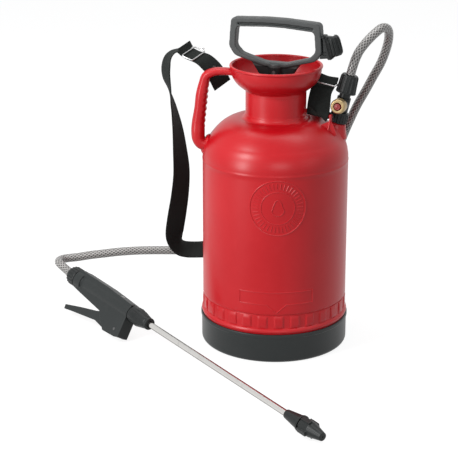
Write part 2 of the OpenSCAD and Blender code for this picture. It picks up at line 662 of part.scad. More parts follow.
// The funnel's radius at the two heights where the webbing passes it on the right
beside = lerp(neck_r, funnel_r, 0.7);
under = lerp(neck_r, funnel_r, 0.5);
strap_line = [
    [[-(funnel_r + 10.3), 19.5, rim_z - 32], [-0.73, -0.66, -0.17]],
    [[-(funnel_r + 16), 19.5, rim_z - 21], [-0.72, -0.67, -0.17]],
    [[-(funnel_r + 22.5), 21.5, rim_z - 10.5], [-0.6, -0.77, -0.2]],
    [[-(tank_r - 3.2), 22, rim_z - 1], [-0.54, -0.81, -0.2]],
    [[-(tank_r + 5), 23.5, rim_z + 3.5], [-0.42, -0.89, -0.2]],
    [[-(tank_r + 13), 26.6, rim_z + 5.8], [-0.41, -0.89, -0.18]],
    [[-(tank_r + 21), 31, rim_z + 9], [-0.42, -0.89, -0.15]],
    [[-(tank_r + 30.5), 34, rim_z + 11], [-0.27, -0.96, 0]],
    [[-(tank_r + 40), 34.5, rim_z + 6.8], [0.15, -0.98, 0.05]],
    [[-(tank_r + 46.5), 35, rim_z - 2], [0.35, -0.93, 0.05]],
    [[-(tank_r + 49.3), 36, rim_z - 16], [0.42, -0.91, 0]],
    [[-(tank_r + 48.5), 38, rim_z - 30.5], [0.38, -0.92, 0]],
    [[-(tank_r + 45.5), 40.5, rim_z - 44], [0.2, -0.98, 0]],
    [[-(tank_r + 43), 42.5, rim_z - 57], [0, -1, 0]],
    [[-(tank_r + 39.5), 45, rim_z - 74], [-0.16, -0.98, 0]],
    [[-(tank_r + 35.8), 48, rim_z - 99], [-0.36, -0.93, 0]],
    [[-(tank_r + 33.2), 55, rim_z - 131], [-0.54, -0.84, 0]],
    [[-(tank_r + 31.7), 62, rim_z - 163.5], [-0.68, -0.73, 0]],
    [[-(tank_r + 34.4), 69, rim_z - 196.5], [-0.77, -0.63, 0]],
    [[-(tank_r + 39.3), 76, rim_z - 229], [-0.83, -0.55, 0]],
    [[-(tank_r + 43), 83, rim_z - 255], [-0.8, -0.6, 0]],
    [[-(tank_r + 42), 89, rim_z - 270], [-0.62, -0.78, -0.05]],
    [[-(tank_r + 38), 93, rim_z - 279.5], [-0.45, -0.87, -0.15]],
    [[-(tank_r + 31), 98, rim_z - 286], [-0.1, -0.91, -0.4]],
    [[-(tank_r + 20), 102, rim_z - 288.5], [-0.03, -0.88, -0.47]],
    [[-(tank_r + 3), 104, rim_z - 288.5], [0, -0.87, -0.5]],
    [[-77, strap_back + 2, rim_z - 287], [0, -0.8, -0.6]],
    [[-48, strap_back + 3, rim_z - 281], [0, -0.5, -0.87]],
    [[-16, strap_back + 3, rim_z - 264], [0.25, -0.2, -0.95]],
    [[13, strap_back + 2, rim_z - 236], [0.5, -0.1, -0.86]],
    [[32, strap_back, rim_z - 200], [0.7, -0.1, -0.7]],
    [[43, strap_back - 3, rim_z - 162], [0.8, -0.2, -0.55]],
    [[50, 96, rim_z - 125], [0.8, -0.4, -0.45]],
    [[54, 82, rim_z - 92], [0.75, -0.6, -0.3]],
    [[57, 66, rim_z - 67], [0.72, -0.66, -0.22]],
    [[beside + 5.77, 49, rim_z - 46], [0.68, -0.72, -0.18]],
    [[beside + 8.77, 34.5, rim_z - 30], [0.63, -0.77, -0.15]],
    [[beside + 11.9, 26, rim_z - 22], [0.6, -0.79, -0.14]],
    [[beside + 12.8, 21.5, rim_z - 19.6], [0.58, -0.8, -0.14]],
    [[beside + 12.2, 17, rim_z - 22.6], [0.6, -0.79, -0.14]],
    [[under + 13.4, 12, rim_z - 27.5], [0.72, -0.68, -0.15]],
    [[(under + lug_at[0]) / 2 + 5.7, 4, rim_z - 36.5], [0.83, -0.53, -0.15]],
    [[lug_at[0] + 0.6, -4.5, rim_z - 47.5], [0.92, -0.38, -0.12]]
];

// The webbing's last stretch passes round the lug's bar
lug_axis = [cos(lug_turn) * cos(lug_lean), sin(lug_turn) * cos(lug_lean), -sin(lug_lean)];
lug_loop_r = lug_bar_r + 0.45 + strap_t / 2;
lug_front = unit(cross(lug_axis, [0, 0, 1]));
lug_up = cross(lug_front, lug_axis);
strap_loop = [for (i = [0 : 6]) let (a = lerp(-50, 180, i / 6))
    [lug_at + lug_loop_r * (cos(a) * lug_front - sin(a) * lug_up), lug_axis]];
strap_end = [[lug_at - lug_loop_r * lug_front + 4 * lug_up, lug_axis]];

function strap_all() = concat(strap_line, strap_loop, strap_end);

module shoulder_strap() {
    all = strap_all();
    centre = smooth([for (p = all) p[0]], 1);
    wide = [for (p = all) p[1]];
    t = tangents(centre);
    color("#26292a") skin([for (i = [0 : len(centre) - 1])
        let (w = across(wide[i], t[i]) * strap_w / 2, n = cross(t[i], unit(w)) * strap_t / 2)
        [centre[i] + w + n, centre[i] - w + n, centre[i] - w - n, centre[i] + w - n]]);
}

// A frame on the webbing at one of its places: X along it, Y across it, Z out of its upper face
module on_strap(i) {
    p = strap_line[i][0];
    t = unit(strap_line[i + 1][0] - strap_line[i - 1][0]);
    w = across(strap_line[i][1], t);
    n = cross(t, w);
    multmatrix([[t[0], w[0], n[0], p[0]], [t[1], w[1], n[1], p[1]], [t[2], w[2], n[2], p[2]], [0, 0, 0, 1]])
        children();
}
left_slide = 5;
right_slide = 40;
slide_l = 16;
slide_lift = strap_t / 2 + 0.4;

module strap_tail() {
    start = slide_l / 2 + wire_d / 2 + 0.7 * strap_t + 0.4;
    low = strap_t / 2 + 1.2;
    color("#26292a") on_strap(left_slide) rotate([90, 0, 0]) translate([0, 0, -strap_w / 2])
        linear_extrude(height = strap_w)
        polygon([[start, low], [start + 6, low + 6.2], [start + 6 - 0.7 * strap_t, low + 6.2 + 0.7 * strap_t],
            [start - 0.7 * strap_t, low + 0.7 * strap_t]]);
}

module slide_wire(l) {
    w = strap_w + wire_d + 1.6;
    difference() {
        cube([l + wire_d, w + wire_d, wire_d], center = true);
        cube([l - wire_d, w - wire_d, wire_d + 2], center = true);
    }
}

module strap_slide_left() {
    color(steel) on_strap(left_slide) translate([0, 0, slide_lift + wire_d / 2 + 0.4]) slide_wire(slide_l);
}

module strap_slide_right() {
    color(steel) on_strap(right_slide) translate([-2, 0, slide_lift + wire_d / 2 + 1.3]) slide_wire(8);
}

module strap_rivet() {
    color(steel) translate([-(funnel_r + 22), grip_depth - 3, rim_z - 11]) rotate([-90, 0, 0]) {
        cylinder(r = 1.6, h = 18);
        translate([0, 0, 16]) cylinder(r = 4, h = 1.5);
    }
}

// ---- gun, in a frame with X along the lance and Z opposite to the trigger ----
module gun_frame() {
    translate(gun_at) rotate([gun_roll, gun_dip, gun_yaw]) children();
}
gun_axis = [cos(gun_dip) * cos(gun_yaw), cos(gun_dip) * sin(gun_yaw), -sin(gun_dip)];

module along(s) {
    translate([s, 0, 0]) rotate([0, 90, 0]) children();
}

module side_plate(points, half) {
    rotate([90, 0, 0]) translate([0, 0, -half]) linear_extrude(height = 2 * half) polygon(points);
}

module gun_hose_nut() {
    color(dark) gun_frame() difference() {
        union() {
            along(0) cylinder(r1 = 7.5, r2 = 11.5, h = 5);
            along(5) cylinder(r1 = 11.5, r2 = 12.8, h = 5);
            along(10) cylinder(r = 12.8, h = nut_l - 10);
            for (i = [0 : 11]) {
                along(5) rotate([0, 0, i * 30]) translate([10, -1.3, 0]) cube([3.5, 2.6, nut_l - 5]);
            }
        }
        along(-1) cylinder(r = barb_r + 0.1, h = nut_l + 2);
        along(12) cylinder(r = 9.3, h = nut_l);
    }
}

module gun_hose_tail() {
    color("#d8d8d2") gun_frame() difference() {
        union() {
            along(0) cylinder(r = barb_r, h = 13);
            along(12) cylinder(r = 6.5, h = body_s);
        }
        along(-1) cylinder(r = 2.6, h = body_s + 20);
        along(body_s) cylinder(r = 5.2, h = 13);
    }
}

module gun_strainer() {
    color("#e6e2d8") gun_frame() difference() {
        along(body_s) cylinder(r = 5, h = 11);
        along(body_s - 1) cylinder(r = 3, h = 11);
    }
}

gun_outline = [
    [body_s, 12], [body_s + 6, 13.6], [body_s + 70, 13.4], [body_end - 6, 10.6], [body_end, 10],
    [body_end, -10.5], [body_end + 1.8, -36.5], [body_end - 6, -38.9], [body_end - 33, -40.4],
    [body_end - 45.5, -32], [body_end - 56, -20.6], [body_s + 11, -13.6], [body_s, -12]
];

module gun_body() {
    channel = [[body_s + 42, -9], [pivot[0] + 8, -9], [pivot[0] + 8, -45], [body_s + 55, -45], [body_s + 42, -32]];
    color(dark) difference() {
        gun_frame() union() {
            side_plate(gun_outline, gun_half);
            along(body_s) cylinder(r = 11.4, h = gun_l);
            along(body_s) cylinder(r = 13.8, h = 15);
            along(body_s - 12) cylinder(r = 8.6, h = 12);
            along(body_end) cylinder(r = 7.6, h = 24);
        }
        gun_frame() {
            side_plate(channel, lever_half + lever_gap);
            along(body_s - 13) cylinder(r = 6.5, h = 25);
            along(body_s) cylinder(r = 2.8, h = stem_s - body_s);
            along(stem_s) cylinder(r = 2.2, h = gun_l);
            along(body_end + 6) cylinder(r = lance_r + 1.8, h = 30);
            along(body_end - 4) cylinder(r = lance_r, h = 40);
            translate([stem_s, 0, -20]) cylinder(r = 2, h = 20);
            translate([stem_s, 0, -3]) cylinder(r = 3.2, h = 6);
            translate([stem_s, 0, 2]) cylinder(r = 4.8, h = 10);
            translate([pivot[0], 0, pivot[1]]) rotate([90, 0, 0]) cylinder(r = pivot_r, h = 40, center = true);
        }
    }
}

lever_outline = [
    [body_s - 1, -39.6], [body_s + 34.5, -30.5], [body_s + 66, -23.3], [stem_s, -13], [pivot[0], -13],
    [pivot[0] + 6, -20], [pivot[0] + 6, -34], [pivot[0] - 4, -38], [pivot[0] - 30, -38],
    [pivot[0] - 48, -35.5], [body_s + 15, -43.5], [body_s, -46]
];

module trigger_lever() {
    color(dark) gun_frame() difference() {
        side_plate(lever_outline, lever_half);
        translate([pivot[0], 0, pivot[1]]) rotate([90, 0, 0]) cylinder(r = pivot_r + 0.06, h = 40, center = true);
    }
}

module trigger_pin() {
    color(steel) gun_frame() translate([pivot[0], 0, pivot[1]]) rotate([90, 0, 0])
        cylinder(r = pivot_r, h = 2 * gun_half, center = true);
}

module valve_stem() {
    color(steel) gun_frame() {
        translate([stem_s, 0, -13]) cylinder(r = 2 - slide_gap, h = 17);
        translate([stem_s, 0, 3.6]) cylinder(r = 3.6, h = 1.4);
    }
}

module valve_seal() {
    color(seal_black) gun_frame() translate([stem_s, 0, 2]) ring(4.2, 2 - slide_gap, 1.6);
}

module valve_spring() {
    color(steel) gun_frame() translate([stem_s, 0, 5]) ring(3.6, 2.6, 7);
}

module gland_nut() {
    color(dark) gun_frame() difference() {
        union() {
            along(body_end + 1) cylinder(r = 11.4, h = 15);
            along(body_end + 16) cylinder(r1 = 11.4, r2 = 7.6, h = gland_l - 16);
            for (i = [0 : 7]) {
                along(body_end + 1) rotate([0, 0, i * 45]) translate([8.6, -1.6, 0]) cube([3.6, 3.2, 22]);
            }
        }
        along(body_end) cylinder(r = 7.9, h = 25);
        along(body_end) cylinder(r = lance_r + 0.1, h = gland_l + 10);
    }
}

module lance_seal() {
    color(seal_black) gun_frame() along(body_end + 20) ring(lance_r + 1.7, lance_r, 3.6);
}

module lance_tube() {
    color(steel) gun_frame() along(body_end - 4) ring(lance_r, lance_r - 1, nozzle_s + 14 - body_end + 4);
}

module nozzle_body() {
    color(dark) gun_frame() difference() {
        union() {
            along(nozzle_s) cylinder(r1 = 5.8, r2 = 9.6, h = nozzle_l - 3);
            along(nozzle_end - 3) cylinder(r = 10.6, h = 3);
            along(nozzle_end) cylinder(r = 6, h = 12);
        }
        along(nozzle_s - 1) cylinder(r = lance_r, h = 15);
        along(nozzle_s) cylinder(r = 2.2, h = 50);
    }
}

module nozzle_seal() {
    color(seal_black) gun_frame() along(nozzle_end) ring(8.4, 6.1, 1.6);
}

module swirl_core() {
    color(brass_tone) gun_frame() along(nozzle_end + 12) difference() {
        cylinder(r = 4.4, h = 4);
        translate([0, 0, -1]) cylinder(r = 1.2, h = 6);
        translate([-0.6, -6, -1]) cube([1.2, 12, 2]);
    }
}

module nozzle_cap() {
    start = nozzle_end + 2;
    color(dark) gun_frame() difference() {
        union() {
            along(start) cylinder(r = 9.6, h = 14);
            along(start + 14) cylinder(r1 = 9.6, r2 = 5.2, h = tip_s - start - 14);
            for (i = [0 : 3]) {
                along(start) rotate([0, 0, 45 + i * 90]) translate([7, -3, 0]) cube([4.6, 6, 15]);
            }
        }
        along(start - 1) cylinder(r = 6 + slide_gap, h = 11.4);
        along(start + 9) cylinder(r = 4.6, h = 6);
        along(start) cylinder(r = 0.8, h = 60);
    }
}

tank_shell();
filling_funnel();
carry_handle();
base_cup();
pump_gasket();
pump_cap();
pump_cylinder();
rod_guide();
pump_foot();
check_disc();
plunger_rod();
piston();
piston_cup();
pump_handle();
handle_pin();
lance_clip();
outlet_gasket();
outlet_collar_nut();
outlet_union();
hose_nut();
relief_body();
relief_spring();
relief_pin();
relief_seal();
dip_tube();
dip_strainer();
delivery_hose();
shoulder_strap();
strap_tail();
strap_slide_left();
strap_slide_right();
strap_rivet();
gun_hose_nut();
gun_hose_tail();
gun_strainer();
gun_body();
trigger_lever();
trigger_pin();
valve_stem();
valve_seal();
valve_spring();
gland_nut();
lance_seal();
lance_tube();
nozzle_body();
nozzle_seal();
swirl_core();
nozzle_cap();
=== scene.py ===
import json
import math

import bmesh
import bpy
import numpy as np
from mathutils import Euler, Matrix, Vector


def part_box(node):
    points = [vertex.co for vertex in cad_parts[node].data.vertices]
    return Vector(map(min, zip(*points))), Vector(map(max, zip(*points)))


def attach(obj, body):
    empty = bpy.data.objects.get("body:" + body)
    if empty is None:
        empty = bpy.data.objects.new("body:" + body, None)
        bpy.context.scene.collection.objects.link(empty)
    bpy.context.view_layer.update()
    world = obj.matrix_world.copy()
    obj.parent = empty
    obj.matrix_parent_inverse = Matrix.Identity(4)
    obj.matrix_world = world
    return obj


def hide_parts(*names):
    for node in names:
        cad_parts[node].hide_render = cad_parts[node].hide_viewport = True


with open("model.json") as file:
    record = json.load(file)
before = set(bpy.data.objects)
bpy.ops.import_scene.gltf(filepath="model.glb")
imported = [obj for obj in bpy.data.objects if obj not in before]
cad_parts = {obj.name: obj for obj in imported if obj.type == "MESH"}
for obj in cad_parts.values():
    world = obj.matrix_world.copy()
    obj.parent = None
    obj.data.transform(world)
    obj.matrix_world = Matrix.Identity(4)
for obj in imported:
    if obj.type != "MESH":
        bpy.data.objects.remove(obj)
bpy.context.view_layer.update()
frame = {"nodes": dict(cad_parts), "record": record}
nodes = frame["nodes"]
mm = 0.001
print("frame loaded:", len(nodes), "nodes")


def addObject(name, data):
    obj = bpy.data.objects.new(name, data)
    bpy.context.scene.collection.objects.link(obj)
    return obj


# camera
camera = {"place": (0.0, -2.0528, 0.8512), "turn": (71.17, 0.0, 1.69), "lens": 128.6, "sensor": 36.0}


def makeCamera(c):
    data = bpy.data.cameras.new("viewCamera")
    data.lens = c["lens"]
    data.sensor_width = c["sensor"]
    data.sensor_fit = "HORIZONTAL"
    cam = addObject("viewCamera", data)
    cam.location = c["place"]
    cam.rotation_euler = [math.radians(a) for a in c["turn"]]
    bpy.context.scene.camera = cam


makeCamera(camera)


# small mesh tools
def facesOutward(mesh):
    bm = bmesh.new()
    bm.from_mesh(mesh)
    bmesh.ops.recalc_face_normals(bm, faces=bm.faces)
    bm.to_mesh(mesh)
    bm.free()


def shadeSmooth(mesh, sharp):
    mesh.polygons.foreach_set("use_smooth", [True] * len(mesh.polygons))
    mesh.set_sharp_from_angle(angle=math.radians(sharp))


def meshFrom(name, verts, faces, sharp=35.0, uvs=None):
    mesh = bpy.data.meshes.new(name)
    mesh.from_pydata([tuple(v) for v in verts], [], faces)
    if uvs is not None:
        layer = mesh.uv_layers.new(name="along")
        layer.data.foreach_set("uv", np.array([c for f in uvs for p in f for c in p], np.float32))
    mesh.validate()
    facesOutward(mesh)
    shadeSmooth(mesh, sharp)
    return addObject(name, mesh)


def vertsOf(obj):
    return np.array([v.co for v in obj.data.vertices])


def moveVerts(obj, co):
    obj.data.vertices.foreach_set("co", co.astype(np.float32).ravel())
    obj.data.update()


def through(place, co):
    # rows of points, turned and moved by a place
    return (np.c_[co, np.ones(len(co))] @ np.array(place).T)[:, :3]


def inMm(place, point):
    return np.array(place @ (Vector(point) * mm)) / mm


def moved(x, y, z):
    return Matrix.Translation((x * mm, y * mm, z * mm))


def turned(degrees, axis):
    return Matrix.Rotation(math.radians(degrees), 4, axis)


def arc(cx, cz, r, a0, a1, n):
    return [(cx + r * math.cos(math.radians(a0 + (a1 - a0) * i / n)),
             cz + r * math.sin(math.radians(a0 + (a1 - a0) * i / n))) for i in range(n + 1)]


def softCorners(points, radius):
    # rounds every inner corner of a profile with a small arc
    steps = 3
    out = [points[0]]
    for a, b, c in zip(points, points[1:], points[2:]):
        a, b, c = np.array(a, float), np.array(b, float), np.array(c, float)
        u, v = a - b, c - b
        lu, lv = np.linalg.norm(u), np.linalg.norm(v)
        if np.dot(u, v) / (lu * lv) < -0.985:
            out.append(tuple(b))
            continue
        reach = min(radius, 0.45 * lu, 0.45 * lv)
        p, q = b + u / lu * reach, b + v / lv * reach
        for k in range(steps + 1):
            t = k / steps
            out.append(tuple((1 - t) ** 2 * p + 2 * t * (1 - t) * b + t * t * q))
    return out + [points[-1]]


def lathe(name, profile, place=None, segments=128, swell=None, loop=False, sharp=35.0):
    # turns a profile of (radius, height) in mm round its axis; swell changes the radius by angle
    place = place or Matrix()
    angles = np.linspace(0, 2 * math.pi, segments, endpoint=False)
    verts, rings = [], []
    for r, z in profile:
        if r < 1e-4:
            rings.append([len(verts)])
            verts.append((0, 0, z * mm))
            continue
        rr = np.full(segments, float(r)) if swell is None else swell(angles, r, z)
        rings.append(list(range(len(verts), len(verts) + segments)))
        verts.extend(zip(rr * np.cos(angles) * mm, rr * np.sin(angles) * mm, np.full(segments, z * mm)))
    faces = []
    for a, b in list(zip(rings, rings[1:])) + ([(rings[-1], rings[0])] if loop else []):
        for j in range(segments):
            k = (j + 1) % segments
            if len(a) == 1:
                faces.append((a[0], b[k], b[j]))
            elif len(b) == 1:
                faces.append((a[j], a[k], b[0]))
            else:
                faces.append((a[j], a[k], b[k], b[j]))
    return meshFrom(name, [place @ Vector(v) for v in verts], faces, sharp)


def catmull(points, steps):
    p = np.array(points, float)
    out = []
    for i in range(len(p) - 1):
        a, b, c, d = p[max(0, i - 1)], p[i], p[i + 1], p[min(len(p) - 1, i + 2)]
        for k in range(steps):
            t = k / steps
            out.append(0.5 * (2 * b + (c - a) * t + (2 * a - 5 * b + 4 * c - d) * t * t
                              + (3 * b - a - 3 * c + d) * t ** 3))
    out.append(p[-1])
    return np.array(out)


def unit(v):
    return v / np.linalg.norm(v)


def tangents(p, closed=False):
    n = len(p)
    if closed:
        return np.array([unit(p[(i + 1) % n] - p[i - 1]) for i in range(n)])
    return np.array([unit(p[min(n - 1, i + 1)] - p[max(0, i - 1)]) for i in range(n)])


def distances(p):
    # how far along its path each point lies, in metres
    return np.concatenate([[0], np.cumsum(np.linalg.norm(np.diff(p, axis=0), axis=1))]) * mm


def carried(t, n):
    # a sideways direction carried along a path without twisting
    out = []
    for d in t:
        n = unit(n - d * np.dot(n, d))
        out.append(n)
    return out


def skinRings(name, rings, closed=False, uvStep=None, sharp=40.0):
    # a closed skin over rings of points with the same count; uvStep gives (around, along) positions in metres
    count, sides = len(rings), len(rings[0])
    verts = [p for ring in rings for p in ring]
    faces, uvs = [], []
    for i in range(count if closed else count - 1):
        a, b = i * sides, ((i + 1) % count) * sides
        for j in range(sides):
            k = (j + 1) % sides
            faces.append((a + j, a + k, b + k, b + j))
            if uvStep is not None:
                around, along = uvStep
                v0, v1 = along[i], along[i + 1]
                uvs.append(((around[j], v0), (around[j + 1], v0), (around[j + 1], v1), (around[j], v1)))
    if not closed:
        faces.append(tuple(range(sides)))
        faces.append(tuple(reversed(range((count - 1) * sides, count * sides))))
        if uvStep is not None:
            for end in (0, count - 1):
                uvs.append(tuple((uvStep[0][j], uvStep[1][end]) for j in range(sides)))
    return meshFrom(name, verts, faces, sharp, uvs if uvStep is not None else None)


def tube(name, path, radius, sides, closed=False, up=(0, 0, 1), uv=False):
    # a round wire or hose along points in mm
    p = np.array(path, float)
    t = tangents(p, closed)
    side = np.array(up, float)
    if abs(np.dot(side, t[0])) > 0.9:
        side = np.array((1.0, 0, 0))
    n = carried(t, side)
    around = [2 * math.pi * j / sides for j in range(sides)]
    rings = [[(c + radius * (math.cos(a) * x + math.sin(a) * np.cross(d, x))) * mm for a in around]
             for c, d, x in zip(p, t, n)]
    step = ([j / sides for j in range(sides + 1)], list(distances(p))) if uv else None
    return skinRings(name, rings, closed, step)


def plateOf(name, outline, thick, place):
    # a flat plate with softened edges, from its outline in the place's x and y
    soft = 0.7
    pts = np.array(outline, float)
    mid = pts.mean(0)
    reach = np.linalg.norm(pts - mid, axis=1).mean()
    rings = []
    for z, shrink in ((-thick / 2, soft), (-thick / 2 + soft, 0), (thick / 2 - soft, 0), (thick / 2, soft)):
        ring = mid + (pts - mid) * (1 - shrink / reach)
        rings.append([place @ (Vector((x, y, z)) * mm) for x, y in ring])
    return skinRings(name, rings, sharp=50)


def drop(obj):
    mesh = obj.data
    bpy.data.objects.remove(obj)
    bpy.data.meshes.remove(mesh)


def joinAll(name, objs):
    # merges several objects into one plain mesh
    bm = bmesh.new()
    for o in objs:
        bm.from_mesh(o.data)
    mesh = bpy.data.meshes.new(name)
    bm.to_mesh(mesh)
    bm.free()
    for o in objs:
        drop(o)
    shadeSmooth(mesh, 35)
    return addObject(name, mesh)


def applied(obj):
    # turns an object with modifiers into a plain mesh object
    graph = bpy.context.evaluated_depsgraph_get()
    mesh = bpy.data.meshes.new_from_object(obj.evaluated_get(graph))
    name = obj.name
    drop(obj)
    mesh.name = name
    return addObject(name, mesh)


def roundedCopy(node, name, voxel, passes):
    # a copy of a moulded node with its edges softened, as a mould leaves them
    mesh = nodes[node].data.copy()
    bm = bmesh.new()
    bm.from_mesh(mesh)
    bmesh.ops.remove_doubles(bm, verts=bm.verts, dist=2e-6)
    bm.to_mesh(mesh)
    bm.free()
    obj = addObject(name, mesh)
    remesh = obj.modifiers.new("remesh", "REMESH")
    remesh.mode = "VOXEL"
    remesh.voxel_size = voxel * mm
    smooth = obj.modifiers.new("smooth", "SMOOTH")
    smooth.factor = 0.5
    smooth.iterations = passes
    obj = applied(obj)
    shadeSmooth(obj.data, 60)
    return obj


def dress(obj, material, body, node):
    obj.data.materials.clear()
    obj.data.materials.append(material)
    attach(obj, body)
    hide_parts(node)
    return obj


# geometry nodes: copies turned round an axis
def ringTree():
    tree = bpy.data.node_groups.new("ringOfCopies", "GeometryNodeTree")
    face = tree.interface
    inputs = {"Geometry": "Geometry", "Count": "Int", "First Angle": "Float", "Material": "Material"}
    for label, kind in inputs.items():
        face.new_socket(label, in_out="INPUT", socket_type="NodeSocket" + kind)
    face.new_socket("Geometry", in_out="OUTPUT", socket_type="NodeSocketGeometry")
    add = tree.nodes.new
    start, end = add("NodeGroupInput"), add("NodeGroupOutput")
    line, index = add("GeometryNodeMeshLine"), add("GeometryNodeInputIndex")
    divide, whole, shift = add("ShaderNodeMath"), add("ShaderNodeMath"), add("ShaderNodeMath")
    divide.operation, whole.operation, shift.operation = "DIVIDE", "MULTIPLY", "ADD"
    turn, copies = add("ShaderNodeCombineXYZ"), add("GeometryNodeInstanceOnPoints")
    real, paint = add("GeometryNodeRealizeInstances"), add("GeometryNodeSetMaterial")
    line.inputs["Offset"].default_value = (0, 0, 0)
    whole.inputs[1].default_value = 2 * math.pi
    link, given = tree.links.new, start.outputs
    link(given["Count"], line.inputs["Count"])
    link(index.outputs[0], divide.inputs[0])
    link(given["Count"], divide.inputs[1])
    link(divide.outputs[0], whole.inputs[0])
    link(whole.outputs[0], shift.inputs[0])
    link(given["First Angle"], shift.inputs[1])
    link(shift.outputs[0], turn.inputs[2])
    link(line.outputs[0], copies.inputs["Points"])
    link(given["Geometry"], copies.inputs["Instance"])
    link(turn.outputs[0], copies.inputs["Rotation"])
    link(copies.outputs[0], real.inputs[0])
    link(real.outputs[0], paint.inputs["Geometry"])
    link(given["Material"], paint.inputs["Material"])
    link(paint.outputs[0], end.inputs[0])
    return tree


copiesRound = ringTree()


def ringCopies(obj, count, material, first=0.0):
    mod = obj.modifiers.new("ringOfCopies", "NODES")
    mod.node_group = copiesRound
    values = {"Count": count, "First Angle": math.radians(first), "Material": material}
    for item in copiesRound.interface.items_tree:
        if item.in_out == "INPUT" and item.name in values:
            mod[item.identifier] = values[item.name]
    obj.update_tag()
    return applied(obj)


# shader groups
def shaderGroup(name, inputs):
    # the first input takes the place on the piece, and every finish has the same three outputs
    tree = bpy.data.node_groups.new(name, "ShaderNodeTree")
    for label, kind in inputs:
        tree.interface.new_socket(label, in_out="INPUT", socket_type="NodeSocket" + kind)
    for label, kind in (("Colour", "Color"), ("Roughness", "Float"), ("Height", "Float")):
        tree.interface.new_socket(label, in_out="OUTPUT", socket_type="NodeSocket" + kind)
    return tree, tree.nodes.new("NodeGroupInput").outputs, tree.nodes.new("NodeGroupOutput").inputs


def feed(tree, sockets, values):
    # links each value that is another node's output, and sets the plain ones
    for label, value in values.items():
        if isinstance(value, bpy.types.NodeSocket):
            tree.links.new(value, sockets[label])
        else:
            sockets[label].default_value = value


def mathNode(tree, operation, a, b=0.0, clamp=False):
    node = tree.nodes.new("ShaderNodeMath")
    node.operation = operation
    node.use_clamp = clamp
    feed(tree, node.inputs, {0: a, 1: b})
    return node.outputs[0]


def times(tree, a, b, clamp=False):
    return mathNode(tree, "MULTIPLY", a, b, clamp)


def plus(tree, a, b, clamp=False):
    return mathNode(tree, "ADD", a, b, clamp)


def mixColour(tree, factor, a, b):
    node = tree.nodes.new("ShaderNodeMix")
    node.data_type = "RGBA"
    feed(tree, node.inputs, {0: factor, 6: a, 7: b})
    return node.outputs[2]


def rangeNode(tree, value, low, high, toLow=0.0, toHigh=1.0):
    node = tree.nodes.new("ShaderNodeMapRange")
    feed(tree, node.inputs, {"Value": value, "From Min": low, "From Max": high,
                             "To Min": toLow, "To Max": toHigh})
    return node.outputs[0]


def noiseNode(tree, vector, scale, detail=3.0, rough=0.55):
    node = tree.nodes.new("ShaderNodeTexNoise")
    feed(tree, node.inputs, {"Vector": vector, "Scale": scale, "Detail": detail, "Roughness": rough})
    return node.outputs["Fac"]


def mouldedGroup():
    # the grain, cloudy tone and rubbed spots of moulded plastic
    tree, a, b = shaderGroup("mouldedPlastic", [
        ("Vector", "Vector"), ("Colour", "Color"), ("Rubbed Colour", "Color"), ("Roughness", "Float"),
        ("Grain Scale", "Float"), ("Cloud Scale", "Float"), ("Rubbed", "Float")])
    grain = noiseNode(tree, a["Vector"], a["Grain Scale"], 2.0)
    cloud = noiseNode(tree, a["Vector"], a["Cloud Scale"], 4.0)
    rubs = rangeNode(tree, noiseNode(tree, a["Vector"], 55.0, 6.0, 0.65), 0.56, 0.74)
    worn = rangeNode(tree, tree.nodes.new("ShaderNodeNewGeometry").outputs["Pointiness"], 0.53, 0.62)
    mask = times(tree, mathNode(tree, "MAXIMUM", times(tree, rubs, 0.35), worn), a["Rubbed"], True)
    darker = tree.nodes.new("ShaderNodeHueSaturation")
    feed(tree, darker.inputs, {"Value": 0.9, "Saturation": 1.03, "Color": a["Colour"]})
    toned = mixColour(tree, rangeNode(tree, cloud, 0.35, 0.65), darker.outputs[0], a["Colour"])
    rough = plus(tree, a["Roughness"], times(tree, mathNode(tree, "SUBTRACT", cloud, 0.5), 0.14))
    feed(tree, b, {"Colour": mixColour(tree, mask, toned, a["Rubbed Colour"]),
                   "Roughness": plus(tree, rough, times(tree, mask, 0.12), True),
                   "Height": plus(tree, times(tree, grain, 0.7), times(tree, cloud, 0.3))})
    return tree


def brushedGroup():
    # fine lines round or along a metal piece, with a few dull spots
    tree, a, b = shaderGroup("drawnMetal", [
        ("Vector", "Vector"), ("Stretch", "Vector"), ("Colour", "Color"), ("Dull Colour", "Color"),
        ("Roughness", "Float"), ("Line Scale", "Float")])
    stretch = tree.nodes.new("ShaderNodeVectorMath")
    stretch.operation = "MULTIPLY"
    feed(tree, stretch.inputs, {0: a["Vector"], 1: a["Stretch"]})
    lines = noiseNode(tree, stretch.outputs[0], a["Line Scale"], 4.0)
    spots = rangeNode(tree, noiseNode(tree, a["Vector"], 120.0, 5.0), 0.55, 0.75)
    rough = plus(tree, a["Roughness"], times(tree, lines, 0.08))
    feed(tree, b, {"Colour": mixColour(tree, times(tree, spots, 0.5), a["Colour"], a["Dull Colour"]),
                   "Roughness": plus(tree, rough, times(tree, spots, 0.12), True), "Height": lines})
    return tree


def mapParts(tree, place):
    parts = tree.nodes.new("ShaderNodeSeparateXYZ")
    tree.links.new(place, parts.inputs[0])
    return parts.outputs[0], parts.outputs[1]


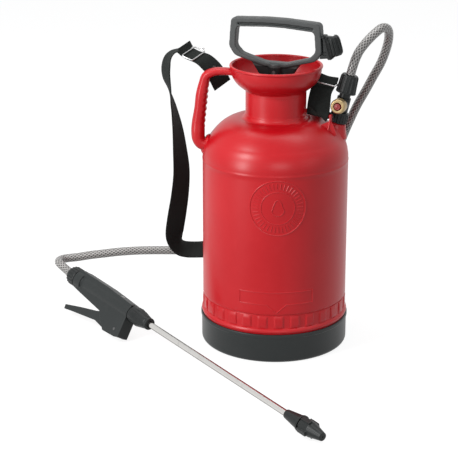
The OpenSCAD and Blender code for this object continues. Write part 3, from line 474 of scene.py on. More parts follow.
def wovenGroup():
    # warp and weft threads on a flat band, from the piece's own map in metres
    tree, a, b = shaderGroup("wovenThreads", [
        ("Map", "Vector"), ("Thread", "Float"), ("Colour", "Color"), ("Light Colour", "Color")])
    u, v = (mathNode(tree, "DIVIDE", part, a["Thread"]) for part in mapParts(tree, a["Map"]))
    slant = plus(tree, v, mathNode(tree, "PINGPONG", u, 6.0))
    warp = mathNode(tree, "SINE", times(tree, slant, math.pi))
    weft = mathNode(tree, "SINE", times(tree, u, 2 * math.pi))
    height = plus(tree, plus(tree, times(tree, warp, 0.35), times(tree, weft, 0.25)), 0.5, True)
    fuzz = noiseNode(tree, a["Map"], 420.0, 3.0)
    tone = times(tree, height, rangeNode(tree, fuzz, 0.3, 0.7), True)
    feed(tree, b, {"Colour": mixColour(tree, tone, a["Colour"], a["Light Colour"]),
                   "Roughness": rangeNode(tree, fuzz, 0.3, 0.7, 0.7, 0.9), "Height": height})
    return tree


def braidGroup():
    # crossing threads laid in a clear hose wall; the map runs once round and along in metres
    tree, a, b = shaderGroup("braidedWall", [
        ("Map", "Vector"), ("Threads Round", "Float"), ("Pitch", "Float"), ("Clear Colour", "Color"),
        ("Thread Colour", "Color")])
    u, v = mapParts(tree, a["Map"])
    around, along = times(tree, u, a["Threads Round"]), mathNode(tree, "DIVIDE", v, a["Pitch"])
    strands = []
    for way in ("ADD", "SUBTRACT"):
        wave = mathNode(tree, "PINGPONG", mathNode(tree, way, around, along), 0.5)
        strands.append(rangeNode(tree, wave, 0.09, 0.2, 1.0, 0.0))
    threads = mathNode(tree, "MAXIMUM", *strands)
    cloud = noiseNode(tree, a["Map"], 30.0, 3.0)
    tone = times(tree, threads, rangeNode(tree, cloud, 0.3, 0.7, 0.65, 1.0), True)
    feed(tree, b, {"Colour": mixColour(tree, tone, a["Clear Colour"], a["Thread Colour"]),
                   "Roughness": rangeNode(tree, cloud, 0.3, 0.7, 0.28, 0.4), "Height": threads})
    return tree


moulded, drawn, woven, braided = mouldedGroup(), brushedGroup(), wovenGroup(), braidGroup()


def material(name, group, coords, values, bump, distance, **plain):
    # one Principled shader fed by one of the groups above; plain values sit on its own sockets
    mat = bpy.data.materials.new(name)
    mat.use_nodes = True
    tree = mat.node_tree
    shader, place = tree.nodes["Principled BSDF"], tree.nodes.new("ShaderNodeTexCoord")
    look, relief = tree.nodes.new("ShaderNodeGroup"), tree.nodes.new("ShaderNodeBump")
    look.node_tree = group
    feed(tree, look.inputs, {0: place.outputs[coords], **values})
    feed(tree, relief.inputs, {"Strength": bump, "Distance": distance, "Height": look.outputs["Height"]})
    feed(tree, shader.inputs, {"Base Color": look.outputs["Colour"], "Roughness": look.outputs["Roughness"],
                               "Normal": relief.outputs[0]})
    feed(tree, shader.inputs, {label.replace("_", " "): value for label, value in plain.items()})
    return mat


def rgba(r, g, b):
    return (r, g, b, 1.0)


def plastic(name, colour, rubbed, roughness, grain, cloud, rubs, bump, **plain):
    return material(name, moulded, "Object",
                    {"Colour": rgba(*colour), "Rubbed Colour": rgba(*rubbed), "Roughness": roughness,
                     "Grain Scale": grain, "Cloud Scale": cloud, "Rubbed": rubs}, bump, 0.0003, **plain)


def metal(name, colour, dull, roughness, stretch, bump, scale, edge=1.0):
    return material(name, drawn, "Object",
                    {"Colour": rgba(*colour), "Dull Colour": rgba(*dull), "Roughness": roughness,
                     "Stretch": stretch, "Line Scale": scale}, bump, 0.0001, Metallic=1.0,
                    Specular_Tint=rgba(edge, edge, edge))


tankRed = plastic("tankRed", (0.5, 0.006, 0.011), (0.58, 0.03, 0.038), 0.35, 700.0, 9.0, 0.25, 0.10,
                  Specular_IOR_Level=0.4)
cupBlack = plastic("cupBlack", (0.014, 0.017, 0.017), (0.045, 0.048, 0.048), 0.4, 600.0, 12.0, 0.35, 0.15,
                   Specular_IOR_Level=0.32)
handleGrey = plastic("handleGrey", (0.035, 0.039, 0.039), (0.09, 0.095, 0.095), 0.46, 800.0, 20.0, 0.4, 0.22,
                     Specular_IOR_Level=0.42)
fittingBlack = plastic("fittingBlack", (0.01, 0.012, 0.012), (0.045, 0.048, 0.048), 0.38, 900.0, 30.0, 0.4,
                       0.16, Specular_IOR_Level=0.24)
gunBlack = plastic("gunBlack", (0.018, 0.021, 0.021), (0.055, 0.058, 0.058), 0.44, 900.0, 22.0, 0.4, 0.2,
                   Specular_IOR_Level=0.24)
innerWhite = plastic("innerWhite", (0.6, 0.58, 0.53), (0.68, 0.66, 0.6), 0.4, 800.0, 20.0, 0.2, 0.1)
sealRubber = plastic("sealRubber", (0.012, 0.012, 0.012), (0.03, 0.03, 0.03), 0.62, 1200.0, 30.0, 0.3, 0.2)
pinRed = plastic("pinRed", (0.28, 0.03, 0.03), (0.5, 0.12, 0.14), 0.32, 900.0, 40.0, 0.3, 0.1)
valveBrass = metal("valveBrass", (0.34, 0.25, 0.13), (0.2, 0.14, 0.06), 0.34, (1, 1, 1), 0.08, 300.0)
rivetSteel = metal("rivetSteel", (0.12, 0.12, 0.12), (0.07, 0.07, 0.07), 0.4, (1, 1, 1), 0.05, 200.0)
rodSteel = metal("rodSteel", (0.55, 0.55, 0.55), (0.4, 0.4, 0.4), 0.24, (1, 1, 0.03), 0.06, 500.0)
springSteel = metal("springSteel", (0.5, 0.5, 0.5), (0.35, 0.35, 0.35), 0.3, (1, 1, 8), 0.2, 200.0)
wireChrome = metal("wireChrome", (0.5, 0.5, 0.5), (0.3, 0.3, 0.3), 0.26, (1, 1, 1), 0.06, 120.0, 0.3)
lanceSteel = metal("lanceSteel", (0.66, 0.65, 0.63), (0.45, 0.43, 0.42), 0.1, (0.08, 0.08, 1), 0.03, 500.0,
                   0.1)
webbing = material("webbing", woven, "UV",
                   {"Thread": 0.0011, "Colour": rgba(0.006, 0.0078, 0.007),
                    "Light Colour": rgba(0.021, 0.025, 0.023)},
                   0.55, 0.0003, Specular_IOR_Level=0.16, Sheen_Weight=0.03, Sheen_Roughness=0.4)
hoseBraid = material("hoseBraid", braided, "UV",
                     {"Threads Round": 9.0, "Pitch": 0.0060, "Clear Colour": rgba(0.04, 0.037, 0.035),
                      "Thread Colour": rgba(0.46, 0.445, 0.43)}, 0.3, 0.0002,
                     Coat_Weight=0.5, Coat_Roughness=0.14)
print("materials made")


def redPiece(obj, node):
    return dress(obj, tankRed, "sprayer", node)


def fitting(obj, node, body="sprayer"):
    return dress(obj, fittingBlack, body, node)


# delivery hose
hose = {"diameter": 12.0, "sides": 28, "steps": 8, "start": 68.2, "tail": 8.0}
outlet = {"x": 79.3, "z": 294.955, "tilt": 13.5}
gun = {"at": (-284.7, 98.5, 48.7), "turn": (-30.0, 3.9, -51.61)}
hoseRoute = [
    (98.5, 1, 373), (102, 3, 383), (107, 7, 392), (115, 13, 401), (125.5, 22, 410), (136, 33, 415.5),
    (144, 44, 411.5), (146.5, 54, 399), (144, 62, 381), (138, 69, 361), (129, 76, 341), (119.5, 82, 320),
    (109, 88, 298), (100, 94, 275), (92.5, 99, 254), (84.5, 104, 228), (76, 110, 195), (71, 122, 156),
    (63, 143, 114), (50, 168, 76), (28, 190, 43), (-2, 200, 23), (-32, 197, 18), (-58, 184, 27),
    (-78, 167, 45), (-94, 153, 61), (-112, 147, 67.5), (-142, 145, 68.5), (-167, 146, 68), (-192, 147, 67),
    (-221, 148, 64.5), (-243, 148.5, 61.5), (-264, 149, 58.5), (-281, 149, 55.5), (-293, 147.5, 54.5),
    (-302, 143, 54.5), (-306.5, 135, 55), (-306, 126, 55), (-301.5, 118, 54)]
outletPlace = moved(outlet["x"], 0, outlet["z"]) @ turned(outlet["tilt"], "Y")
gunPlace = (Matrix.Translation(Vector(gun["at"]) * mm)
            @ Euler([math.radians(a) for a in gun["turn"]], "XYZ").to_matrix().to_4x4())
alongGun = gunPlace @ turned(90, "Y")
gunAxis = np.array(gunPlace.to_3x3() @ Vector((1, 0, 0)))


def makeHose(h):
    start, end = inMm(outletPlace, (0, 0, h["start"])), np.array(gun["at"], float)
    points = [start] + [np.array(p, float) for p in hoseRoute] + [end - h["tail"] * gunAxis, end]
    line = catmull(points, h["steps"])
    obj = tube("deliveryHose", line, h["diameter"] / 2, h["sides"], up=(0, 1, 0), uv=True)
    dress(obj, hoseBraid, "sprayer", "delivery_hose")


makeHose(hose)
print("hose laid")


# tank
tank = {"radius": 95.0, "foot": 94.0, "stand": 3.0, "cupTop": 39.3, "band": 47.3, "blockHeight": 16.5,
        "blocks": 28, "seam": 251.2, "rollZ": 254.5, "rollR": 38.3, "crease": 41.8, "dome": 24.5,
        "curve": 2.4, "neckR": 39.3, "neckHeight": 32.3, "bore": 34.0, "wall": 2.6, "segments": 432}
creaseX = tank["radius"] - tank["rollR"] * (1 - math.cos(math.radians(tank["crease"])))
creaseZ = tank["rollZ"] + tank["rollR"] * math.sin(math.radians(tank["crease"]))
domeFoot = tank["neckR"] + 4.6
domeZ = creaseZ + tank["dome"]
neckZ = domeZ + tank["neckHeight"]


def domePoint(t, inset=0.0):
    a = math.radians(tank["crease"] + (88 - tank["crease"]) * t)
    return (creaseX + (domeFoot - creaseX) * t - inset * math.cos(a),
            creaseZ + tank["dome"] * (1 - (1 - t) ** tank["curve"]) - inset * math.sin(a))


def tankProfile(k):
    r, b, foot, neck, seam, wall = k["radius"], k["band"], k["foot"], k["neckR"], k["seam"], k["wall"]
    low = k["stand"]
    outer = [(0, low)] + arc(foot - 5, low + 5, 5, -90, 0, 6)
    outer += [(foot, k["cupTop"] + 0.3), (r + 0.6, k["cupTop"] + 0.3)]
    outer += arc(r - 1.8, k["cupTop"] + 4, 3.7, -50, 60, 9)
    outer += softCorners([(r - 1, b), (r - 1, b + 17.1), (r - 1.7, b + 17.3), (r - 1.7, b + 18.7),
                          (r, b + 19.4), (r, b + 24)], 0.5)
    outer += [(r, z) for z in range(76, 248, 6)]
    outer += [(r + out, seam + up) for out, up in ((0, -1.8), (0.3, -1), (0.4, 0), (0.25, 1), (0, 1.8))]
    outer += arc(r - k["rollR"], k["rollZ"], k["rollR"], 0, k["crease"], 24)
    outer += [domePoint(i / 30) for i in range(1, 31)]
    outer += softCorners([(domeFoot - 1.8, domeZ + 1.3), (neck + 1.5, domeZ + 3.2), (neck + 1.1, domeZ + 5.2),
                          (neck + 0.1, domeZ + 6), (neck, domeZ + 8), (neck, domeZ + 15)], 0.7)
    outer += [(neck, neckZ - 0.2)]
    inner = [(k["bore"], neckZ - 0.2), (k["bore"], domeZ - wall - 2)]
    inner += [domePoint(i / 10, wall) for i in range(9, 0, -1)]
    inner += [(r - wall, k["rollZ"]), (r - wall, b + 22), (foot - wall, b + 16), (foot - wall, 10.6),
              (foot - wall - 5, low + wall), (0, low + wall)]
    return outer + inner


def shapeTank(obj):
    # draws the wall up round the outlet boss, as blown plastic follows its mould
    co = vertsOf(obj)
    local = through(outletPlace.inverted(), co) / mm
    reach = np.hypot(local[:, 0], local[:, 1])
    near = np.exp(-(np.maximum(reach - 6, 0) / 9.5) ** 2) * (local[:, 2] > -26) * (local[:, 2] < 20)
    outside = np.hypot(co[:, 0], co[:, 1]) / mm > 56
    lift = near * outside * np.clip(2.0 - local[:, 2], 0, 9) * 0.8
    axis = np.array(outletPlace.to_3x3() @ Vector((0, 0, 1)))
    moveVerts(obj, co + lift[:, None] * axis[None] * mm)
    return obj


tankBody = shapeTank(lathe("tankBody", tankProfile(tank), segments=tank["segments"], sharp=50))
redPiece(tankBody, "tank_shell")


def outletBoss():
    profile = [(5.4, 11), (8.2, 11), (8.6, 10.6), (8.6, 4.2), (9.6, 3.6), (11, 2.6), (11.8, 0), (13, -4),
               (15, -9), (17, -14), (15, -15), (5.4, -15)]
    redPiece(lathe("outletBoss", softCorners(profile, 0.6), outletPlace, 96, loop=True), "tank_shell")


outletBoss()


# the band of raised blocks above the cup
def bandBlock(k):
    span, height, low, high = 216 / k["blocks"], k["blockHeight"], k["radius"] - 1.8, k["radius"] + 0.35
    columns, rows = 9, 7

    def point(r, u, v):
        a = math.radians(span * u)
        return r * math.cos(a) * mm, r * math.sin(a) * mm, (k["band"] + 0.2 + v * height) * mm

    grid = []
    for i in range(columns):
        for j in range(rows):
            u, v = i / (columns - 1), j / (rows - 1)
            rim = min(min(u, 1 - u) * span * 1.65, min(v, 1 - v) * height)
            grid.append(point(high - 0.9 * (1 - min(1.0, rim / 1.1)) ** 2, u, v))
    base = [point(low, u, v) for u in (0, 1) for v in (0, 1)]
    faces = [(i * rows + j, (i + 1) * rows + j, (i + 1) * rows + j + 1, i * rows + j + 1)
             for i in range(columns - 1) for j in range(rows - 1)]
    n = columns * rows
    # the four sides and the back, from the base's corners n to n + 3
    faces += [(n, n + 1, *range(rows - 1, -1, -1)), (n + 3, n + 2, *range(n - rows, n)),
              (n + 2, n, *range(0, n, rows)), (n + 1, n + 3, *range(n - 1, 0, -rows)),
              (n, n + 2, n + 3, n + 1)]
    return meshFrom("bandBlocks", grid + base, faces, 30)


redPiece(ringCopies(bandBlock(tank), tank["blocks"], tankRed), "tank_shell")


# raised lines that follow the tank's side; u runs round the side, v is the height
def onSide(u, v, out):
    a = u / tank["radius"]
    r = tank["radius"] + out
    return np.array((r * math.sin(a), -r * math.cos(a), v))


def reliefLine(points, width, height):
    pts = [np.array(p, float) for p in points]
    rings = []
    for i in range(len(pts)):
        d = unit(pts[(i + 1) % len(pts)] - pts[i - 1])
        side = np.array((d[1], -d[0]))
        ring = []
        for k in range(8):
            a = 2 * math.pi * k / 8
            u, v = pts[i] + side * math.cos(a) * width / 2
            ring.append(onSide(u, v, height * math.sin(a)) * mm)
        rings.append(ring)
    return skinRings("reliefLine", rings, True)


def densify(points, step):
    # more points along a closed outline, so that it bends with the side
    pts = [np.array(p, float) for p in points]
    out = []
    for a, b in zip(pts, pts[1:] + pts[:1]):
        n = max(1, int(np.linalg.norm(b - a) / step))
        out += [a + (b - a) * k / n for k in range(n)]
    return out


def dropLine(cx, cz, size):
    out = []
    for k in range(48):
        a = 2 * math.pi * k / 48
        r = size * (0.62 + 0.38 * max(0.0, math.sin(a)) ** 6)
        out.append((cx + r * math.cos(a) * (0.82 if math.sin(a) > 0 else 1.0), cz + r * math.sin(a)))
    return out


badge = {"u": 3.6, "v": 211.0, "outer": 36.0, "inner": 21.5, "ticks": 40, "firstTick": 2.0, "drop": 13.0}
plate = {"left": -46.0, "right": 52.0, "top": 97.2, "bottom": 80.7, "mid": 3.0, "notch": 69.0,
         "notchHalf": 13.0}


def badgeTicks(b):
    # short raised rays between the badge's two rings
    near, far, high = b["inner"] + 3, b["outer"] - 3, 0.75
    verts = []
    for r, w, h in ((near, 0.1, -0.2), (near + 0.5, 0.5, high), (far - 0.5, 0.75, high), (far, 0.1, -0.2)):
        verts += [(r * mm, y * mm, z * mm) for y, z in ((-w, h * 0.2), (0, h), (w, h * 0.2), (0, -0.4))]
    faces = [(i + j, i + (j + 1) % 4, i + 4 + (j + 1) % 4, i + 4 + j) for i in (0, 4, 8) for j in range(4)]
    faces += [(0, 1, 2, 3), (15, 14, 13, 12)]
    obj = ringCopies(meshFrom("badgeTicks", verts, faces), b["ticks"], tankRed, b["firstTick"])
    co = vertsOf(obj) / mm
    moveVerts(obj, np.array([onSide(x + b["u"], y + b["v"], z) for x, y, z in co]) * mm)
    facesOutward(obj.data)
    return obj


def sideRelief(b, p):
    low, mid, half = p["bottom"], p["mid"], p["notchHalf"]
    box = [(p["left"], p["top"]), (p["right"], p["top"]), (p["right"], low), (mid + half, low),
           (mid, p["notch"]), (mid - half, low), (p["left"], low)]
    lines = [reliefLine(arc(b["u"], b["v"], b["outer"], 0, 360, 120)[:-1], 1.7, 0.85),
             reliefLine(arc(b["u"], b["v"], b["inner"], 0, 360, 90)[:-1], 1.2, 0.7),
             reliefLine(dropLine(b["u"], b["v"] - 2, b["drop"]), 1.5, 0.8),
             reliefLine(densify(box, 3.0), 1.2, 0.7), badgeTicks(b)]
    redPiece(joinAll("sideRelief", lines), "tank_shell")


sideRelief(badge, plate)
print("tank made")


# funnel
funnel = {"rim": 59.2, "height": 37.0, "foot": 5.0, "wall": 2.6, "lip": 1.9}
rimZ = neckZ + funnel["height"]


def funnelX(f, t):
    u = max(0.0, (t * f["height"] - f["foot"]) / (f["height"] - f["foot"]))
    return tank["neckR"] + (f["rim"] - tank["neckR"]) * (0.87 * (1 - (1 - u) ** 3) + 0.13 * u)


def fillingFunnel(f):
    steps = [i / 24 for i in range(24)]
    outside = [(funnelX(f, t), neckZ + f["height"] * t) for t in steps]
    rim = arc(f["rim"] - 0.9, rimZ - 0.9, f["lip"], -60, 200, 12)
    inside = [(x - f["wall"] * (1.25 - 0.25 * t), z) for t, (x, z) in zip(steps[::-1], outside[::-1])]
    profile = [(tank["neckR"], neckZ - 0.15)] + outside + rim + inside + [(tank["bore"] + 1, neckZ - 0.15)]
    redPiece(lathe("fillingFunnel", profile, segments=256, loop=True, sharp=60), "filling_funnel")


fillingFunnel(funnel)

# carry handle; its line gives x, z, half width and half depth
grip = {"ripples": 8, "rippleDepth": 1.5, "fuller": 2.4, "top": 352.0, "foot": 289.0, "sides": 40,
        "steps": 14}
gripLine = [
    (-56, 364.3, 4.6, 9), (-68.2, 365.1, 4.6, 9), (-80.2, 364, 5, 9), (-90, 358.8, 5.6, 9),
    (-93.5, 348.8, 6.2, 9), (-96.5, 333.8, 7, 10), (-98.5, 315.8, 7, 10), (-100.9, 297.8, 7.8, 10),
    (-101.5, 285.8, 8.2, 11), (-100, 275.3, 8.5, 11), (-94.5, 269, 8.5, 11), (-85, 269, 8.5, 11)]


def squarer(c, p):
    # a sine or cosine pushed outward, so that a round section turns a little square
    return math.copysign(abs(c) ** p, c)


def gripChange(g, z):
    # how much fuller the leg's inner side is at a height, less the finger ripples there
    top, foot = g["top"], g["foot"]
    change = 0.0
    if foot - 12 < z < top + 8:
        change = g["fuller"] * math.sin(math.pi * (top + 8 - z) / (top - foot + 20)) ** 0.5
    if foot < z < top:
        s = (top - z) / (top - foot)
        wave = 0.5 + 0.5 * math.cos(2 * math.pi * g["ripples"] * s)
        change -= g["rippleDepth"] * wave * math.sin(math.pi * s) ** 0.4
    return change


def carryHandle(g):
    line = catmull(gripLine, g["steps"])
    spine = np.stack([line[:, 0], np.zeros(len(line)), line[:, 1]], 1)
    t = tangents(spine)
    rings = []
    for i, (_, z, wide, deep) in enumerate(line):
        n = unit(np.cross((0, 1.0, 0), t[i]))
        change = gripChange(g, z) if t[i][2] < -0.5 else 0.0
        ring = []
        for j in range(g["sides"]):
            a = 2 * math.pi * j / g["sides"]
            c = math.cos(a)
            across = wide * squarer(c, 0.85)
            if n[0] * c > 0:   # the side that faces the tank
                across += math.copysign(change * abs(c) ** 1.2, across)
            ring.append((spine[i] + across * n + np.array((0, deep * squarer(math.sin(a), 0.85), 0))) * mm)
        rings.append(ring)
    redPiece(skinRings("carryHandle", rings, sharp=60), "carry_handle")


carryHandle(grip)
weld = {"at": (-91.8, 0, 269), "toward": (-0.94, 0, 0.34), "across": 9.0, "deep": 11.4, "depth": 3.0}


def lowerWeld(k):
    # the bead where the handle meets the shoulder
    w, d, depth = k["across"], k["deep"], k["depth"]
    place = moved(*k["at"]) @ Vector(k["toward"]).to_track_quat("Z", "Y").to_matrix().to_4x4()

    def oval(a, r, z):
        return r * (w * d) / np.sqrt((d * np.cos(a)) ** 2 + (w * np.sin(a)) ** 2)

    profile = [(0, -depth), (1.0, -depth), (1.22, -depth * 0.4), (1.12, 0.2), (1.02, depth * 0.35),
               (0.96, depth * 0.6), (0, depth * 0.6)]
    redPiece(lathe("lowerWeld", profile, place, 48, oval, sharp=60), "carry_handle")


lowerWeld(weld)
print("funnel and carry handle made")

# base cup
cup = {"radius": 96.8, "height": tank["cupTop"], "lip": 1.0, "floor": tank["stand"], "play": 0.3}


def baseCup(c):
    r, h, lip = c["radius"], c["height"], c["lip"]
    inner = tank["foot"] + c["play"]
    outer = [(0, 0)] + arc(r - 5.5, 5.5, 5.5, -90, 0, 8)
    outer += softCorners([(r, 8), (r, h - 5.2), (r + lip, h - 4.4), (r + lip, h - 0.5), (r + 0.3, h)], 0.5)
    outer += [(inner + 0.5, h), (inner, h - 0.6), (inner, 9)]
    outer += arc(inner - 5, 5 + c["floor"], 5, 0, -90, 5)[1:] + [(0, c["floor"])]
    dress(lathe("baseCup", outer, segments=288, sharp=50), cupBlack, "sprayer", "base_cup")


baseCup(cup)

# strap lug on the shoulder
lug = {"at": (55.0, -14.5, domeZ + 9.2), "lean": 6.0, "turn": -26.0, "bar": 2.2, "width": 30.0, "ear": 15.0}
lugFin = {"outline": [(70.7, 306), (65, 304), (57, 300.5), (60, 292), (75, 283), (78.5, 288), (75, 298)],
          "thick": 2.6, "y": -23.0}
lugPlace = (Matrix.Translation(Vector(lug["at"]) * mm)
            @ Euler((0, math.radians(lug["lean"]), math.radians(lug["turn"])), "XYZ").to_matrix().to_4x4())


def lugEar(side):
    x = side * (lug["width"] / 2 + 2.5)
    foot = -lug["ear"] - side * 5
    rings = []
    for z, w, d in ((2.6, 0.4, 1.2), (2.3, 0.9, 2.4), (1.2, 1.0, 2.9), (-3, 1.1, 3.2), (foot + 6, 1.3, 4.2),
                    (foot, 1.6, 6.5), (foot - 1.5, 1.8, 8)):
        ring = []
        for k in range(20):
            a = 2 * math.pi * k / 20
            point = Vector((x + w * squarer(math.cos(a), 0.5), d * squarer(math.sin(a), 0.5), z))
            ring.append(lugPlace @ (point * mm))
        rings.append(ring)
    return skinRings("lugEar", rings, sharp=60)


def strapLug():
    half = lug["width"] / 2 + 3
    bar = tube("lugBar", [inMm(lugPlace, (x, 0, 0)) for x in np.linspace(-half, half, 5)], lug["bar"], 24)
    fin = plateOf("lugFin", lugFin["outline"], lugFin["thick"], moved(0, lugFin["y"], 0) @ turned(90, "X"))
    redPiece(joinAll("strapLug", [bar, lugEar(-1), lugEar(1), fin]), "tank_shell")


strapLug()

# shoulder strap; its line gives each point and the way across the webbing there
strap = {"width": 30.0, "thick": 1.6, "steps": 5}
strapLine = [
    ((-69.5, 19.5, 341.8), (-0.73, -0.66, -0.17)), ((-75.2, 19.5, 352.8), (-0.72, -0.67, -0.17)),
    ((-81.7, 21.5, 363.3), (-0.6, -0.77, -0.2)), ((-91.8, 22, 372.8), (-0.54, -0.81, -0.2)),
    ((-100, 23.5, 377.3), (-0.42, -0.89, -0.2)), ((-108, 26.6, 379.6), (-0.41, -0.89, -0.18)),
    ((-116, 31, 382.8), (-0.42, -0.89, -0.15)), ((-125.5, 34, 384.8), (-0.27, -0.96, 0)),
    ((-135, 34.5, 380.6), (0.15, -0.98, 0.05)), ((-141.5, 35, 371.8), (0.35, -0.93, 0.05)),
    ((-144.3, 36, 357.8), (0.42, -0.91, 0)), ((-143.5, 38, 343.3), (0.38, -0.92, 0)),
    ((-140.5, 40.5, 329.8), (0.2, -0.98, 0)), ((-138, 42.5, 316.8), (0, -1, 0)),
    ((-134.5, 45, 299.8), (-0.16, -0.98, 0)), ((-130.8, 48, 274.8), (-0.36, -0.93, 0)),
    ((-128.2, 55, 242.8), (-0.54, -0.84, 0)), ((-126.7, 62, 210.3), (-0.68, -0.73, 0)),
    ((-129.4, 69, 177.3), (-0.77, -0.63, 0)), ((-134.3, 76, 144.8), (-0.83, -0.55, 0)),
    ((-138, 83, 118.8), (-0.8, -0.6, 0)), ((-137, 89, 103.8), (-0.62, -0.78, -0.05)),
    ((-133, 93, 94.3), (-0.45, -0.87, -0.15)), ((-126, 98, 87.8), (-0.1, -0.91, -0.4)),
    ((-115, 102, 85.3), (-0.03, -0.88, -0.47)), ((-98, 104, 85.3), (0, -0.87, -0.5)),
    ((-77, 108, 86.8), (0, -0.8, -0.6)), ((-48, 109, 92.8), (0, -0.5, -0.87)),
    ((-16, 109, 109.8), (0.25, -0.2, -0.95)), ((13, 108, 137.8), (0.5, -0.1, -0.86)),
    ((32, 106, 173.8), (0.7, -0.1, -0.7)), ((43, 103, 211.8), (0.8, -0.2, -0.55)),
    ((50, 96, 248.8), (0.8, -0.4, -0.45)), ((54, 82, 281.8), (0.75, -0.6, -0.3)),
    ((57, 66, 306.8), (0.72, -0.66, -0.22)), ((59, 49, 327.8), (0.68, -0.72, -0.18)),
    ((62, 34.5, 343.8), (0.8, -0.55, -0.2)), ((65.13, 26, 351.8), (0.9, -0.35, -0.25)),
    ((66.03, 21.5, 354.2), (0.94, -0.25, -0.25)), ((65.43, 17, 351.2), (0.92, -0.32, -0.23)),
    ((62.65, 12, 346.3), (0.87, -0.44, -0.2)), ((57.82, 4, 337.3), (0.85, -0.5, -0.15)),
    ((55.6, -4.5, 326.3), (0.92, -0.38, -0.12))]


def loopRoundBar():
    axis = np.array(lugPlace.to_3x3() @ Vector((1, 0, 0)))
    front = unit(np.cross(axis, (0, 0, 1.0)))
    up = np.cross(front, axis)
    at, r = np.array(lug["at"]), lug["bar"] + 0.45 + strap["thick"] / 2
    out = []
    for i in range(7):
        a = math.radians(-50 + 230 * i / 6)
        out.append((at + r * (math.cos(a) * front - math.sin(a) * up), axis))
    return out + [(at - r * front + 4 * up, axis)]


def acrossOf(wide, t):
    # the way across the webbing, square to its run
    return unit(wide - t * np.dot(wide, t))


def band(name, centre, wide, width, thick):
    # a woven band with rounded edges; its map is in metres, across and along
    t = tangents(centre)
    half, h = width / 2, thick / 2
    edge = arc(half - h, 0, h, -90, 90, 4)
    flat = np.linspace(half - h, -half + h, 8)[1:-1]
    section = edge + [(x, h) for x in flat] + [(-x, -z) for x, z in edge] + [(-x, -h) for x in flat]
    around = [0.0]
    for a, b in zip(section, section[1:] + section[:1]):
        around.append(around[-1] + math.dist(a, b) * mm)
    rings = []
    for i in range(len(centre)):
        w = acrossOf(wide[i], t[i])
        n = np.cross(t[i], w)
        rings.append([(centre[i] + x * w + z * n) * mm for x, z in section])
    return skinRings(name, rings, False, (around, list(distances(centre))), sharp=60)


def shoulderStrap(s):
    places = [(np.array(p, float), np.array(w, float)) for p, w in strapLine] + loopRoundBar()
    centre = catmull([p for p, _ in places], s["steps"])
    wide = catmull([unit(w) for _, w in places], s["steps"])
    obj = band("shoulderStrap", centre, wide, s["width"], s["thick"])
    dress(obj, webbing, "sprayer", "shoulder_strap")
    length = float(distances(centre)[-1])
    print("strap length", round(length, 4))
    return obj, length


strapBand, strapLength = shoulderStrap(strap)


def strapFrame(i):
    # X along the webbing, Y across it, Z out of its upper face
    before, here, after = (np.array(strapLine[k][0], float) for k in (i - 1, i, i + 1))
    t = unit(after - before)
    w = acrossOf(np.array(strapLine[i][1], float), t)
    return moved(*here) @ Matrix(np.stack([t, w, np.cross(t, w)], 1).tolist()).to_4x4()


def wireSlide(name, k):
    # lift and far are the heights of its two bars over the webbing
    place = strapFrame(k["at"]) @ moved(k["shift"], 0, 0)
    wire, corner, lift, far = k["wire"], 2.2, k["lift"], k["far"]
    half, side = (strap["width"] + wire + 1.6) / 2, k["length"] / 2
    flat = []
    for sx, sy, a in ((1, 1, 0), (-1, 1, 90), (-1, -1, 180), (1, -1, 270)):
        flat += arc(sx * (side - corner), sy * (half - corner), corner, a, a + 90, 3)
    slope = [max(-1.0, min(1.0, x / (side - corner))) for x, _ in flat]
    path = [inMm(place, (x, y, (lift + far) / 2 + (lift - far) / 2 * s)) for (x, y), s in zip(flat, slope)]
    hook = catmull([inMm(place, p) for p in
                    ((side * 0.3, -half, lift), (side * 0.1, -half - 1.1, lift + 1.0),
                     (-side * 0.3, -half - 1.5, lift + 2.0), (-side * 0.65, -half - 0.8, lift + 2.2))], 4)
    parts = [tube(name, path, wire / 2, 14, closed=True), tube(name + "Hook", hook, wire * 0.55, 12)]
    return dress(joinAll(name, parts), wireChrome, "sprayer", k["node"])


leftPiece = {"at": 5, "shift": 0.0, "length": 16.0, "lift": 2.5, "far": 2.5, "wire": 1.8,
             "node": "strap_slide_left"}
rightPiece = {"at": 40, "shift": -2.0, "length": 8.0, "lift": 3.4, "far": -2.6, "wire": 1.8,
              "node": "strap_slide_right"}
leftSlide = wireSlide("leftSlide", leftPiece)
rightSlide = wireSlide("rightSlide", rightPiece)


def strapTail():
    # the loose end that stands up behind the left slide
    t, leftFrame = strap["thick"], strapFrame(leftPiece["at"])
    start, low = leftPiece["length"] / 2 + 1.3 + 0.35 * t, 1.2 + 0.85 * t
    centre = catmull([inMm(leftFrame, (start + x, 0, low + z)) for x, z in ((0, 0), (2.6, 2.5), (6, 6.2))], 4)
    across = np.array(leftFrame.to_3x3() @ Vector((0, 1, 0)))
    obj = band("strapTail", centre, np.array([across] * len(centre)), strap["width"], t)
    return dress(obj, webbing, "sprayer", "strap_tail")


tail = strapTail()


rivet = {"at": (-81.2, 6, 362.8), "pin": 1.6, "head": 4.0}


def strapRivet(k):
    pin, head = k["pin"], k["head"]
    profile = [(0, 0), (pin, 0), (pin, 15.8), (head, 16), (head, 16.6)]
    profile += arc(0, 14.4, head - 0.1, 40, 88, 6) + [(0, 18.3)]
    obj = lathe("strapRivet", profile, moved(*k["at"]) @ turned(-90, "X"), 32)
    dress(obj, rivetSteel, "sprayer", "strap_rivet")


strapRivet(rivet)
print("strap made")


# outlet, safety valve and nuts
def ribbed(count, depth, low, high, width=0.42):
    # a swell that raises rounded ribs on part of a turned piece
    def swell(a, r, z):
        if not low <= z <= high or r < 7:
            return np.full(len(a), float(r))
        edge = math.cos(math.pi * width)
        return r + depth * np.clip((np.cos(a * count) - edge) / (1 - edge), 0, 1) ** 0.5
    return swell


def turnedNut(name, node, profile, soft, place, segments, swell):
    fitting(lathe(name, softCorners(profile, soft), place, segments, swell, loop=True), node)


